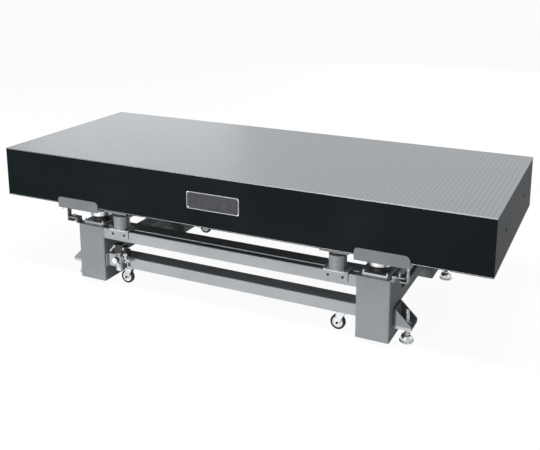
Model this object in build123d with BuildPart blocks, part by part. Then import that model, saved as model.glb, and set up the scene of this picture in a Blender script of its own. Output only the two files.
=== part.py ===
"""Optical table on a welded frame with four air isolators, levelling feet and casters.

Millimetres, +Z up, floor at Z = 0, table centred on the origin, front towards -Y.
"""

import os

from build123d import *

os.makedirs("parts", exist_ok=True)

# Tabletop
TABLE_L = 3000.0
TABLE_W = 1200.0
TABLE_TOP = 800.0
TABLE_T = 300.0
SKIN_T = 5.0
SIDE_T = 12.0
SIDE_INSET = 1.5
TABLE_BOTTOM = TABLE_TOP - TABLE_T

# Tapped holes in the top skin
HOLE_PITCH = 25.0
HOLE_R = 2.5
LIFT_HOLE_R = 5.1
LIFT_HOLE_Y = 305.0
LIFT_HOLE_DROP = 152.0
LIFT_HOLE_Z = TABLE_TOP - LIFT_HOLE_DROP

# Nameplate on the front panel
PLATE_L = 330.0
PLATE_H = 100.0
PLATE_X = -21.0
PLATE_DROP = 148.0
PLATE_Z = TABLE_TOP - PLATE_DROP
PLATE_T = 2.0
PLATE_CORNER_R = 8.0
PLATE_BORDER = 7.0
PLATE_RECESS = 0.6

# Legs. Their place follows the tabletop: set in from its ends and sides, an isolator's height below it.
LEG_END_INSET = 511.0
LEG_SIDE_INSET = 40.0
ISOLATOR_H = 128.0
LEG_LX = 185.0
LEG_LY = 220.0
LEG_X_OUT = TABLE_L / 2 - LEG_END_INSET
LEG_X_IN = LEG_X_OUT - LEG_LX
LEG_Y_OUT = TABLE_W / 2 - LEG_SIDE_INSET
LEG_Y_IN = LEG_Y_OUT - LEG_LY
LEG_Z0 = 27.0
LEG_Z1 = TABLE_BOTTOM - ISOLATOR_H
LEG_WALL = 6.0
LEG_CORNER_R = 9.0
LEG_CX = (LEG_X_IN + LEG_X_OUT) / 2
LEG_CY = (LEG_Y_IN + LEG_Y_OUT) / 2

# Upper and lower rings of box rails
RAIL_H = 67.0
RAIL_SET_BACK = 5.0
RAIL_SET_DOWN = 2.0
LOWER_SET_BACK = 30.0
UPPER_Z1 = LEG_Z1 - RAIL_SET_DOWN
UPPER_Z0 = UPPER_Z1 - RAIL_H
UPPER_FRONT_Y = LEG_Y_OUT - RAIL_SET_BACK
UPPER_W = 147.0
UPPER_END_X = LEG_X_OUT - RAIL_SET_BACK
UPPER_END_W = 110.0
RAIL_STRIP_W = 108.0
RAIL_STRIP_T = 4.0
LOWER_Z0 = 128.0
LOWER_Z1 = LOWER_Z0 + RAIL_H
LOWER_FRONT_Y = LEG_Y_OUT - LOWER_SET_BACK
LOWER_W = 112.0
LOWER_END_X = LEG_X_OUT - LOWER_SET_BACK
LOWER_END_W = 120.0
RAIL_WALL = 5.0
RAIL_CORNER_R = 6.0
RAIL_GAP = UPPER_Z0 - LOWER_Z1

# Air isolators on the legs
ISO_X = LEG_CX
ISO_Y = LEG_CY
ISO_BASE_L = 181.0
ISO_BASE_W = 218.0
ISO_BASE_T = 3.0
CLAMP_L = 148.0
CLAMP_W = 170.0
CLAMP_T = 11.0
CLAMP_CORNER = 8.0
CLAMP_BORE_R = 57.0
ROLL_R = 56.5
ROLL_EDGE = 4.0
ROLL_H = 38.0
PISTON_R = 38.0
PISTON_DISC_R = 70.0
PISTON_DISC_RISE = 44.0
PISTON_DISC_Z0 = LEG_Z1 + PISTON_DISC_RISE
PISTON_DISC_T = 34.0
PISTON_EDGE = 3.0
NECK_R = 42.0

# Locating brackets under the tabletop
LOC_OVERHANG = 109.0
LOC_SET_BACK = 10.0
LOC_T = 12.0
LOC_X0 = LEG_X_IN
LOC_X1 = LEG_X_OUT + LOC_OVERHANG
LOC_Y_IN = LEG_Y_IN + LOC_SET_BACK
LIP_T = 6.0
LIP_DROP = 24.0
LIP_RISE = 41.0
LIP_Z0 = TABLE_BOTTOM - LIP_DROP
LIP_Z1 = TABLE_BOTTOM + LIP_RISE
LIP_CORNER_SMALL = 18.0
LIP_CORNER_LARGE = 30.0
LOC_Z0 = TABLE_BOTTOM - LOC_T

# Lift hooks of bent strip, and the stop tongues on the legs that they catch
HOOK_T = 7.0
HOOK_W = 42.0
HOOK_FROM_LEG = 45.0
HOOK_OVER_LEG = 2.0
HOOK_SET_BACK = 4.0
HOOK_X0 = LEG_X_OUT + HOOK_FROM_LEG
HOOK_X1 = HOOK_X0 + HOOK_W
HOOK_Z0 = LEG_Z1 + HOOK_OVER_LEG
HOOK_Y_FRONT = LEG_Y_OUT - HOOK_SET_BACK
HOOK_D = 30.0
HOOK_ARM_D = 92.0
HOOK_ARM_H = 22.0
HOOK_ARM_DROP = 40.0
HOOK_ARM_Z = LOC_Z0 - HOOK_ARM_DROP
TONGUE_RISE = 26.0
TONGUE_Z0 = LEG_Z1 + TONGUE_RISE
TONGUE_T = 8.0
TONGUE_W = 44.0
TONGUE_RISER_T = 12.0
TONGUE_RISER_X = LEG_X_OUT + TONGUE_RISER_T
TONGUE_FOOT_T = 10.0
TONGUE_CLEARANCE = 6.0
TONGUE_X1 = HOOK_X1 - HOOK_T - TONGUE_CLEARANCE
SET_SCREW_R = 4.0
SET_SCREW_H = 26.0
SET_SCREW_X = HOOK_X0 - SET_SCREW_R

# Support posts on the upper front and rear rails
POST_FROM_LEG = 114.0
POST_SET_BACK = 35.0
POST_X = LEG_X_IN - POST_FROM_LEG
POST_Y = LEG_Y_OUT - POST_SET_BACK
POST_R = 48.0
POST_PLATE_T = 8.0
POST_Z0 = UPPER_Z1 + RAIL_STRIP_T + POST_PLATE_T
PAD_T = 12.0
BEARING_T = 12.0
PAD_CLEARANCE = 5.0
POST_Z1 = TABLE_BOTTOM - BEARING_T - PAD_CLEARANCE - PAD_T
POST_EDGE = 2.0
PAD_R = 46.0
POST_PLATE_L = 138.0
POST_PLATE_W = 100.0
POST_PLATE_CORNER = 16.0
POST_FLANGE_H = 48.0
BEARING_L = 160.0
BEARING_W = 112.0
BEARING_EDGE = 8.0
BEARING_Y = TABLE_W / 2 - BEARING_EDGE - BEARING_W / 2

# Foot brackets and levelling feet
FOOT_FROM_LEG = 61.0
FOOT_SET_BACK = 120.0
FOOT_X = LEG_X_OUT + FOOT_FROM_LEG
FOOT_Y = LEG_Y_OUT - FOOT_SET_BACK
FLANGE_T = 12.0
FLANGE_W = 120.0
FLANGE_Z0 = 90.0
FLANGE_Z1 = 198.0
SHELF_L = 99.0
SHELF_X1 = LEG_X_OUT + SHELF_L
SHELF_T = 12.0
GUSSET_T = 8.0
GUSSET_TOE = 12.0
STEM_R = 11.0
STEM_TOP = 210.0
SCREW_GAP = 0.08
NUT_AF = 34.0
NUT_T = 14.0
PAD_BASE_R = 39.0
PAD_RIM_H = 10.0
PAD_STEP = 6.0
PAD_SHOULDER_R = 19.0
PAD_DOME_H = 32.0
PAD_COLLAR_R = 16.0
PAD_H = 48.0

# Casters under the lower rails. The left pair sits further in, clear of the air unit.
CASTER_FROM_LEFT_LEG = 126.0
CASTER_FROM_RIGHT_LEG = 105.0
CASTER_X = {-1: -LEG_X_IN + CASTER_FROM_LEFT_LEG, 1: LEG_X_IN - CASTER_FROM_RIGHT_LEG}
CASTER_Y = LOWER_FRONT_Y - LOWER_W / 2
CASTER_PLATE_L = 106.0
CASTER_PLATE_W = 86.0
CASTER_PLATE_T = 6.0
RACE_R = 25.0
RACE_T = 9.0
KING_R = 6.0
KING_HEAD_R = 10.0
KING_HEAD_T = 4.0
SWIVEL_GAP = 0.5
PIN_GAP = 0.06
CROWN_T = 4.0
CROWN_R = 25.0
WHEEL_R = 42.0
WHEEL_W = 24.0
WHEEL_Z = 47.5
HUB_R = 11.0
HUB_W = 27.0
TYRE_R = 33.0
DISC_RECESS = 2.5
TREAD_EDGE = 4.0
TRAIL = 20.0
FORK_IN = 15.5
FORK_T = 3.0
FORK_ARM_W = 26.0
AXLE_R = 5.0
AXLE_HEAD_R = 7.5
AXLE_HEAD_T = 4.0

# Air preparation unit on the lower front rail, beside the left leg
AIR_Y = LOWER_FRONT_Y + 32.0
AIR_BACK_T = 4.0
AIR_X0 = -LEG_X_IN + 9.0
AIR_X1 = -LEG_X_IN + 168.0
AIR_Z0 = LOWER_Z0 - 4.0
AIR_Z1 = LOWER_Z0 + 74.0
AIR_FLANGE_D = 26.0
REG_X = -LEG_X_IN + 110.0
REG_BODY_L = 48.0
REG_FRONT_Y = AIR_Y + 20.0
REG_Z0 = LOWER_Z0 + 36.0
REG_Z1 = LOWER_Z0 + 84.0
REG_EDGE = 2.0
REG_KNOB_R = 16.0
REG_KNOB_TOP = LOWER_Z0 + 98.0
BOWL_R = 18.0
BOWL_Z0 = LOWER_Z0 - 10.0
BOWL_TOE = 7.0
GAUGE_X = -LEG_X_IN + 105.0
GAUGE_Z = LOWER_Z0 + 66.0
GAUGE_R = 21.0
GAUGE_T = 14.0
GAUGE_Y = AIR_Y + 42.0
GAUGE_RIM = 2.5
GAUGE_RECESS = 2.0
GAUGE_STEM_R = 7.0
VALVE_X = -LEG_X_IN + 156.0
VALVE_Z = LOWER_Z0 + 66.0
VALVE_R = 10.0
VALVE_ARM = 36.0
VALVE_TOP = LOWER_Z1 + 0.38 * RAIL_GAP
VALVE_DROP = 50.0
VALVE_DROP_R = 6.0
VALVE_NUT_R = 13.0
VALVE_NUT_T = 12.0
PILOT_X0 = -LEG_X_IN + 52.0
PILOT_X1 = -LEG_X_IN + 144.0
PILOT_FOOT_H = 0.39 * RAIL_GAP
PILOT_BLOCK_X1 = -LEG_X_IN + 102.0
PILOT_H = 0.65 * RAIL_GAP
PILOT_DEPTH = 40.0
PILOT_KNOB_X = -LEG_X_IN + 127.0
PILOT_KNOB_R = 0.157 * RAIL_GAP
PILOT_KNOB_Z = LOWER_Z1 + PILOT_FOOT_H + PILOT_KNOB_R - 4.0
PILOT_KNOB_D = 14.0


def export(builder, label):
    """Name the finished solid and write it to the parts folder."""
    builder.part.label = label
    export_step(builder.part, f"parts/{label}.step")


def upright(x, y):
    """Vertical sketch plane through a vertical axis: sketch x is the radius, sketch y is the height."""
    return Plane(origin=(x, y, 0), x_dir=(1, 0, 0), z_dir=(0, -1, 0))


CORNERS = {"front_left": (-1, -1), "front_right": (1, -1), "rear_left": (-1, 1), "rear_right": (1, 1)}


# Top skin: a ground steel plate. Twelve of its tapped holes are cut here as mounts.
MOUNT_BLOCK = 2 * HOLE_PITCH
MOUNT_CENTRES = (-1250.0, 0.0, 1250.0)
with BuildPart() as top_plate:
    with BuildSketch(Plane.XY.offset(TABLE_TOP - SKIN_T)):
        Rectangle(TABLE_L, TABLE_W)
        for middle in MOUNT_CENTRES:
            with Locations((middle, 0)):
                with GridLocations(MOUNT_BLOCK, MOUNT_BLOCK, 2, 2):
                    Circle(HOLE_R, mode=Mode.SUBTRACT)
    extrude(amount=SKIN_T)
    chamfer(top_plate.faces().sort_by(Axis.Z)[-1].outer_wire().edges(), 0.8)
export(top_plate, "top_plate")

with BuildPart() as bottom_plate:
    with BuildSketch(Plane.XY.offset(TABLE_BOTTOM)):
        Rectangle(TABLE_L, TABLE_W)
    extrude(amount=SKIN_T)
export(bottom_plate, "bottom_plate")

# Side panels between the skins: two long ones, two short ones with lifting holes.
CORE_Z0 = TABLE_BOTTOM + SKIN_T
CORE_Z1 = TABLE_TOP - SKIN_T
SIDE_Y = TABLE_W / 2 - SIDE_INSET
END_X = TABLE_L / 2 - SIDE_INSET
for side, name in ((-1, "front_side_panel"), (1, "rear_side_panel")):
    with BuildPart() as side_panel:
        with BuildSketch(Plane.XY.offset(CORE_Z0)):
            with Locations((0, side * (SIDE_Y - SIDE_T / 2))):
                Rectangle(2 * END_X, SIDE_T)
        extrude(amount=CORE_Z1 - CORE_Z0)
    export(side_panel, name)

for side, name in ((-1, "left_end_panel"), (1, "right_end_panel")):
    with BuildPart() as end_panel:
        with BuildSketch(Plane.YZ.offset(side * END_X)):
            with Locations((0, (CORE_Z0 + CORE_Z1) / 2)):
                Rectangle(2 * (SIDE_Y - SIDE_T), CORE_Z1 - CORE_Z0)
            with Locations((-LIFT_HOLE_Y, LIFT_HOLE_Z), (LIFT_HOLE_Y, LIFT_HOLE_Z)):
                Circle(LIFT_HOLE_R, mode=Mode.SUBTRACT)
        extrude(amount=-side * SIDE_T)
    export(end_panel, name)

# Bare nameplate: a raised border round a sunk panel.
with BuildPart() as nameplate:
    with BuildSketch(Plane.XZ.offset(SIDE_Y)):
        with Locations((PLATE_X, PLATE_Z)):
            RectangleRounded(PLATE_L, PLATE_H, PLATE_CORNER_R)
    extrude(amount=PLATE_T)
    with BuildSketch(Plane.XZ.offset(SIDE_Y + PLATE_T)):
        with Locations((PLATE_X, PLATE_Z)):
            RectangleRounded(PLATE_L - 2 * PLATE_BORDER, PLATE_H - 2 * PLATE_BORDER, PLATE_CORNER_R)
    extrude(amount=-PLATE_RECESS, mode=Mode.SUBTRACT)
export(nameplate, "nameplate")

# Legs: columns of plate folded with round corners, closed on top and open below.
for corner, (sx, sy) in CORNERS.items():
    with BuildPart() as leg:
        with BuildSketch(Plane.XY.offset(LEG_Z0)):
            with Locations((sx * LEG_CX, sy * LEG_CY)):
                RectangleRounded(LEG_LX, LEG_LY, LEG_CORNER_R)
        extrude(amount=LEG_Z1 - LEG_Z0)
        with BuildSketch(Plane.XY.offset(LEG_Z0)):
            with Locations((sx * LEG_CX, sy * LEG_CY)):
                RectangleRounded(LEG_LX - 2 * LEG_WALL, LEG_LY - 2 * LEG_WALL, LEG_CORNER_R - LEG_WALL)
        extrude(amount=LEG_Z1 - LEG_WALL - LEG_Z0, mode=Mode.SUBTRACT)
    export(leg, f"leg_{corner}")


def rail_profile(width, height):
    """Box tube section with rounded corners, drawn about the sketch's own middle."""
    RectangleRounded(width, height, RAIL_CORNER_R)
    RectangleRounded(width - 2 * RAIL_WALL, height - 2 * RAIL_WALL, RAIL_CORNER_R / 2, mode=Mode.SUBTRACT)


# Rails along the length. The upper ones carry a welded strip behind their front edge.
for side, name in ((-1, "front"), (1, "rear")):
    with BuildPart() as upper_rail:
        with BuildSketch(Plane.YZ.offset(-LEG_X_IN)):
            with Locations((side * (UPPER_FRONT_Y - UPPER_W / 2), (UPPER_Z0 + UPPER_Z1) / 2)):
                rail_profile(UPPER_W, UPPER_Z1 - UPPER_Z0)
            strip_y = side * (UPPER_FRONT_Y - UPPER_W + RAIL_STRIP_W / 2)
            with Locations((strip_y, UPPER_Z1 + RAIL_STRIP_T / 2)):
                Rectangle(RAIL_STRIP_W - 2 * RAIL_CORNER_R, RAIL_STRIP_T)
        extrude(amount=2 * LEG_X_IN)
    export(upper_rail, f"upper_rail_{name}")

    with BuildPart() as lower_rail:
        with BuildSketch(Plane.YZ.offset(-LEG_X_IN)):
            with Locations((side * (LOWER_FRONT_Y - LOWER_W / 2), (LOWER_Z0 + LOWER_Z1) / 2)):
                rail_profile(LOWER_W, LOWER_Z1 - LOWER_Z0)
        extrude(amount=2 * LEG_X_IN)
    export(lower_rail, f"lower_rail_{name}")

# Rails across the ends, between the front and rear legs.
for side, name in ((-1, "left"), (1, "right")):
    with BuildPart() as upper_beam:
        with BuildSketch(Plane.XZ.offset(-LEG_Y_IN)):
            with Locations((side * (UPPER_END_X - UPPER_END_W / 2), (UPPER_Z0 + UPPER_Z1) / 2)):
                rail_profile(UPPER_END_W, UPPER_Z1 - UPPER_Z0)
        extrude(amount=2 * LEG_Y_IN)
    export(upper_beam, f"upper_beam_{name}")

    with BuildPart() as lower_beam:
        with BuildSketch(Plane.XZ.offset(-LEG_Y_IN)):
            with Locations((side * (LOWER_END_X - LOWER_END_W / 2), (LOWER_Z0 + LOWER_Z1) / 2)):
                rail_profile(LOWER_END_W, LOWER_Z1 - LOWER_Z0)
        extrude(amount=2 * LEG_Y_IN)
    export(lower_beam, f"lower_beam_{name}")


# Air isolators. Each kind of piece is one node with four solids, one on each leg.
ISO_BASE_Z1 = LEG_Z1 + ISO_BASE_T
CLAMP_Z1 = ISO_BASE_Z1 + CLAMP_T
PISTON_DISC_Z1 = PISTON_DISC_Z0 + PISTON_DISC_T
ISO_SPOTS = [(sx * ISO_X, sy * ISO_Y) for sx, sy in CORNERS.values()]

with BuildPart() as isolator_clamps:
    with BuildSketch(Plane.XY.offset(LEG_Z1)):
        with Locations(*ISO_SPOTS):
            RectangleRounded(ISO_BASE_L, ISO_BASE_W, LEG_CORNER_R)
    extrude(amount=ISO_BASE_T)
    with BuildSketch(Plane.XY.offset(ISO_BASE_Z1)) as clamp_ring:
        with Locations(*ISO_SPOTS):
            Rectangle(CLAMP_L, CLAMP_W)
        chamfer(clamp_ring.vertices(), CLAMP_CORNER)
    extrude(amount=CLAMP_T)
    with BuildSketch(Plane.XY.offset(CLAMP_Z1)):
        with Locations(*ISO_SPOTS):
            Circle(CLAMP_BORE_R)
    extrude(amount=-CLAMP_T - ISO_BASE_T, mode=Mode.SUBTRACT)
export(isolator_clamps, "isolator_clamps")


def diaphragm_half_section():
    """Half section of the rolled rubber: a bulge between the clamp's bore and the piston's wall."""
    Polygon(
        (PISTON_R, LEG_Z1),
        (ROLL_R, LEG_Z1),
        (ROLL_R, LEG_Z1 + ROLL_H - ROLL_EDGE),
        (ROLL_R - ROLL_EDGE, LEG_Z1 + ROLL_H),
        (PISTON_R + ROLL_EDGE, LEG_Z1 + ROLL_H),
        (PISTON_R, LEG_Z1 + ROLL_H - ROLL_EDGE),
        align=None,
    )


with BuildPart() as isolator_diaphragms:
    for spot in ISO_SPOTS:
        with BuildSketch(upright(spot[0], spot[1])):
            diaphragm_half_section()
        revolve(axis=Axis((spot[0], spot[1], 0), (0, 0, 1)))
export(isolator_diaphragms, "isolator_diaphragms")

with BuildPart() as isolator_pistons:
    for spot in ISO_SPOTS:
        with BuildSketch(upright(spot[0], spot[1])):
            Polygon(
                (0, LEG_Z1),
                (PISTON_R - SWIVEL_GAP, LEG_Z1),
                (PISTON_R - SWIVEL_GAP, PISTON_DISC_Z0),
                (PISTON_DISC_R - PISTON_EDGE, PISTON_DISC_Z0),
                (PISTON_DISC_R, PISTON_DISC_Z0 + PISTON_EDGE),
                (PISTON_DISC_R, PISTON_DISC_Z1 - PISTON_EDGE),
                (PISTON_DISC_R - PISTON_EDGE, PISTON_DISC_Z1),
                (NECK_R, PISTON_DISC_Z1),
                (NECK_R, LOC_Z0),
                (0, LOC_Z0),
                align=None,
            )
        revolve(axis=Axis((spot[0], spot[1], 0), (0, 0, 1)))
export(isolator_pistons, "isolator_pistons")


# Locating brackets: a flat under the tabletop with a lip that stands up its long side. All four are the
# same part, turned but not mirrored, so the lip's large corner is always at its right-hand end.
for corner, (sx, sy) in CORNERS.items():
    lip_y = sy * (TABLE_W / 2 + LIP_T)
    with BuildPart() as locating_bracket:
        with BuildSketch(Plane.XY.offset(LOC_Z0)):
            with Locations((sx * (LOC_X0 + LOC_X1) / 2, sy * (LOC_Y_IN + TABLE_W / 2) / 2)):
                Rectangle(LOC_X1 - LOC_X0, TABLE_W / 2 - LOC_Y_IN)
        extrude(amount=LOC_T)
        with BuildSketch(Plane.XZ.offset(-lip_y)) as lip:
            with Locations((sx * (LOC_X0 + LOC_X1) / 2, (LIP_Z0 + LIP_Z1) / 2)):
                Rectangle(LOC_X1 - LOC_X0, LIP_Z1 - LIP_Z0)
            fillet(lip.vertices().group_by(Axis.Y)[-1].sort_by(Axis.X)[0 if sy < 0 else -1], LIP_CORNER_SMALL)
            fillet(lip.vertices().group_by(Axis.Y)[-1].sort_by(Axis.X)[-1 if sy < 0 else 0], LIP_CORNER_LARGE)
        extrude(amount=sy * LIP_T)
    export(locating_bracket, f"locating_bracket_{corner}")


def hook_profile(sx):
    """Bent strip seen from the front: top under the bracket, outer bar, foot that points to the leg."""
    bar_x = HOOK_X1 - HOOK_T
    Polygon(
        (sx * HOOK_X0, HOOK_Z0),
        (sx * HOOK_X1, HOOK_Z0),
        (sx * HOOK_X1, LOC_Z0),
        (sx * HOOK_X0, LOC_Z0),
        (sx * HOOK_X0, LOC_Z0 - HOOK_T),
        (sx * bar_x, LOC_Z0 - HOOK_T),
        (sx * bar_x, HOOK_Z0 + HOOK_T),
        (sx * HOOK_X0, HOOK_Z0 + HOOK_T),
        align=None,
    )


def tongue_profile(sx):
    """Stop tongue seen from the front: foot on the leg's edge, riser, tongue into the hook's mouth."""
    foot_x = LEG_CX + ISO_BASE_L / 2
    riser_x = TONGUE_RISER_X - TONGUE_RISER_T / 2
    Polygon(
        (sx * foot_x, LEG_Z1),
        (sx * (riser_x + TONGUE_RISER_T), LEG_Z1),
        (sx * (riser_x + TONGUE_RISER_T), TONGUE_Z0),
        (sx * TONGUE_X1, TONGUE_Z0),
        (sx * TONGUE_X1, TONGUE_Z0 + TONGUE_T),
        (sx * riser_x, TONGUE_Z0 + TONGUE_T),
        (sx * riser_x, LEG_Z1 + TONGUE_FOOT_T),
        (sx * foot_x, LEG_Z1 + TONGUE_FOOT_T),
        align=None,
    )


# Lift hooks under the brackets: they stop the tabletop if it rises too far. A bar ties each to the back.
with BuildPart() as lift_hooks:
    for sx, sy in CORNERS.values():
        with BuildSketch(Plane.XZ.offset(-sy * HOOK_Y_FRONT)):
            hook_profile(sx)
        extrude(amount=sy * HOOK_D)
        arm_y = sy * (HOOK_Y_FRONT - HOOK_ARM_D / 2)
        with Locations((sx * (HOOK_X1 - HOOK_T / 2), arm_y, HOOK_ARM_Z)):
            Box(HOOK_T, HOOK_ARM_D, HOOK_ARM_H)
        post_y = sy * (HOOK_Y_FRONT - HOOK_ARM_D + HOOK_T / 2)
        with Locations((sx * (HOOK_X1 - HOOK_T / 2), post_y, (HOOK_ARM_Z + LOC_Z0) / 2)):
            Box(HOOK_T, HOOK_T, LOC_Z0 - HOOK_ARM_Z)
export(lift_hooks, "lift_hooks")

# Stop tongues on the legs, each with the screw that sets how far its hook may rise.
with BuildPart() as stop_tongues:
    for sx, sy in CORNERS.values():
        tongue_y = sy * (HOOK_Y_FRONT - HOOK_D / 2)
        with BuildSketch(Plane.XZ.offset(-tongue_y)):
            tongue_profile(sx)
        extrude(amount=TONGUE_W / 2, both=True)
        with Locations((sx * SET_SCREW_X, tongue_y, TONGUE_Z0 + TONGUE_T)):
            Cylinder(SET_SCREW_R, SET_SCREW_H)
export(stop_tongues, "stop_tongues")


# Support posts on the upper rails, that the tabletop sets down on when the air is off.
POST_SPOTS = [(sx * POST_X, sy * POST_Y) for sx, sy in CORNERS.values()]
POST_BASE_Z = UPPER_Z1 + RAIL_STRIP_T

with BuildPart() as post_brackets:
    with BuildSketch(Plane.XY.offset(POST_BASE_Z)) as post_base:
        with Locations(*POST_SPOTS):
            Rectangle(POST_PLATE_L, POST_PLATE_W)
        chamfer(post_base.vertices(), POST_PLATE_CORNER)
    extrude(amount=POST_PLATE_T)
    for sx, sy in CORNERS.values():
        face_y = sy * (UPPER_FRONT_Y + POST_PLATE_T / 2)
        with Locations((sx * POST_X, face_y, POST_BASE_Z - POST_FLANGE_H / 2)):
            Box(POST_PLATE_L, POST_PLATE_T, POST_FLANGE_H)
export(post_brackets, "post_brackets")

with BuildPart() as support_posts:
    with BuildSketch(Plane.XY.offset(POST_Z0)):
        with Locations(*POST_SPOTS):
            Circle(POST_R)
    extrude(amount=POST_Z1 - POST_Z0)
    chamfer(support_posts.faces().group_by(Axis.Z)[-1].edges(), POST_EDGE)
export(support_posts, "support_posts")

with BuildPart() as post_pads:
    with BuildSketch(Plane.XY.offset(POST_Z1)):
        with Locations(*POST_SPOTS):
            Circle(PAD_R)
    extrude(amount=PAD_T)
export(post_pads, "post_pads")

with BuildPart() as bearing_plates:
    with BuildSketch(Plane.XY.offset(TABLE_BOTTOM - BEARING_T)):
        with Locations(*[(sx * POST_X, sy * BEARING_Y) for sx, sy in CORNERS.values()]):
            Rectangle(BEARING_L, BEARING_W)
    extrude(amount=BEARING_T)
export(bearing_plates, "bearing_plates")


# Foot brackets: flange on the leg, shelf, two gussets, hole for the screw.
for corner, (sx, sy) in CORNERS.items():
    with BuildPart() as foot_bracket:
        with BuildSketch(Plane.XZ.offset(-sy * FOOT_Y)):
            Polygon(
                (sx * LEG_X_OUT, FLANGE_Z0),
                (sx * SHELF_X1, FLANGE_Z0),
                (sx * SHELF_X1, FLANGE_Z0 + SHELF_T),
                (sx * (LEG_X_OUT + FLANGE_T), FLANGE_Z0 + SHELF_T),
                (sx * (LEG_X_OUT + FLANGE_T), FLANGE_Z1),
                (sx * LEG_X_OUT, FLANGE_Z1),
                align=None,
            )
        extrude(amount=FLANGE_W / 2, both=True)
        for edge in (-1, 1):
            gusset_y = sy * FOOT_Y + edge * (FLANGE_W / 2)
            with BuildSketch(Plane.XZ.offset(-gusset_y)):
                Polygon(
                    (sx * (LEG_X_OUT + FLANGE_T), FLANGE_Z0 + SHELF_T),
                    (sx * SHELF_X1, FLANGE_Z0 + SHELF_T),
                    (sx * SHELF_X1, FLANGE_Z0 + SHELF_T + GUSSET_TOE),
                    (sx * (LEG_X_OUT + FLANGE_T), FLANGE_Z1),
                    align=None,
                )
            extrude(amount=edge * GUSSET_T)
        with BuildSketch(Plane.XY.offset(FLANGE_Z0 + SHELF_T)):
            with Locations((sx * FOOT_X, sy * FOOT_Y)):
                Circle(STEM_R + SCREW_GAP)
        extrude(amount=-SHELF_T, mode=Mode.SUBTRACT)
    export(foot_bracket, f"foot_bracket_{corner}")

with BuildPart() as foot_lock_nuts:
    with BuildSketch(Plane.XY.offset(FLANGE_Z0 + SHELF_T)):
        with Locations(*[(sx * FOOT_X, sy * FOOT_Y) for sx, sy in CORNERS.values()]):
            RegularPolygon(NUT_AF / 2, 6, major_radius=False)
            Circle(STEM_R + SCREW_GAP, mode=Mode.SUBTRACT)
    extrude(amount=NUT_T)
export(foot_lock_nuts, "foot_lock_nuts")


def foot_half_section():
    """Half section of the domed pad with its collar and screw, from the floor to the screw's top."""
    Polygon(
        (0, 0),
        (PAD_BASE_R, 0),
        (PAD_BASE_R, PAD_RIM_H),
        (PAD_BASE_R - PAD_STEP, PAD_RIM_H + PAD_STEP),
        (PAD_SHOULDER_R + PAD_STEP, PAD_DOME_H - PAD_STEP),
        (PAD_SHOULDER_R, PAD_DOME_H),
        (PAD_COLLAR_R, PAD_DOME_H),
        (PAD_COLLAR_R, PAD_H),
        (STEM_R, PAD_H),
        (STEM_R, STEM_TOP),
        (0, STEM_TOP),
        align=None,
    )


for corner, (sx, sy) in CORNERS.items():
    with BuildPart() as levelling_foot:
        with BuildSketch(upright(sx * FOOT_X, sy * FOOT_Y)):
            foot_half_section()
        revolve(axis=Axis((sx * FOOT_X, sy * FOOT_Y, 0), (0, 0, 1)))
    export(levelling_foot, f"levelling_foot_{corner}")


# Casters. All forks trail to the left, as they stand after the table was rolled to the right.
RACE_Z0 = LOWER_Z0 - CASTER_PLATE_T - RACE_T
CROWN_Z1 = RACE_Z0 - SWIVEL_GAP
CROWN_Z0 = CROWN_Z1 - CROWN_T
KING_Z0 = CROWN_Z0 - SWIVEL_GAP - KING_HEAD_T
with BuildPart() as caster_plates:
    for sx, sy in CORNERS.values():
        centre = (CASTER_X[sx], sy * CASTER_Y)
        with BuildSketch(Plane.XY.offset(LOWER_Z0)):
            with Locations(centre):
                RectangleRounded(CASTER_PLATE_L, CASTER_PLATE_W, RAIL_CORNER_R)
        extrude(amount=-CASTER_PLATE_T)
        with BuildSketch(Plane.XY.offset(RACE_Z0)):
            with Locations(centre):
                Circle(RACE_R)
        extrude(amount=RACE_T)
        with BuildSketch(Plane.XY.offset(KING_Z0)):
            with Locations(centre):
                Circle(KING_R)
        extrude(amount=RACE_Z0 - KING_Z0)
        with BuildSketch(Plane.XY.offset(KING_Z0)):
            with Locations(centre):
                Circle(KING_HEAD_R)
        extrude(amount=KING_HEAD_T)
export(caster_plates, "caster_plates")


def fork_cheek(pivot_x, axle_x):
    """Outline of a fork cheek: wide under the crown, rounded about the axle."""
    with BuildLine() as outline:
        Polyline(
            (axle_x - FORK_ARM_W / 2, WHEEL_Z),
            (pivot_x - CROWN_R, CROWN_Z1),
            (pivot_x + CROWN_R, CROWN_Z1),
            (axle_x + FORK_ARM_W / 2, WHEEL_Z),
        )
        ThreePointArc(
            (axle_x + FORK_ARM_W / 2, WHEEL_Z),
            (axle_x, WHEEL_Z - FORK_ARM_W / 2),
            (axle_x - FORK_ARM_W / 2, WHEEL_Z),
        )
    return outline.edges()


def wheel_half_section(axle_x, middle_y):
    """Half section of the wheel: hub, sunk disc and a tyre with bevelled shoulders."""
    tread = WHEEL_W / 2 - TREAD_EDGE
    disc = WHEEL_W / 2 - DISC_RECESS
    Polygon(
        (axle_x + AXLE_R + PIN_GAP, middle_y - HUB_W / 2),
        (axle_x + HUB_R, middle_y - HUB_W / 2),
        (axle_x + HUB_R, middle_y - disc),
        (axle_x + TYRE_R, middle_y - disc),
        (axle_x + TYRE_R, middle_y - WHEEL_W / 2),
        (axle_x + WHEEL_R - TREAD_EDGE, middle_y - WHEEL_W / 2),
        (axle_x + WHEEL_R, middle_y - tread),
        (axle_x + WHEEL_R, middle_y + tread),
        (axle_x + WHEEL_R - TREAD_EDGE, middle_y + WHEEL_W / 2),
        (axle_x + TYRE_R, middle_y + WHEEL_W / 2),
        (axle_x + TYRE_R, middle_y + disc),
        (axle_x + HUB_R, middle_y + disc),
        (axle_x + HUB_R, middle_y + HUB_W / 2),
        (axle_x + AXLE_R + PIN_GAP, middle_y + HUB_W / 2),
        align=None,
    )


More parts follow.
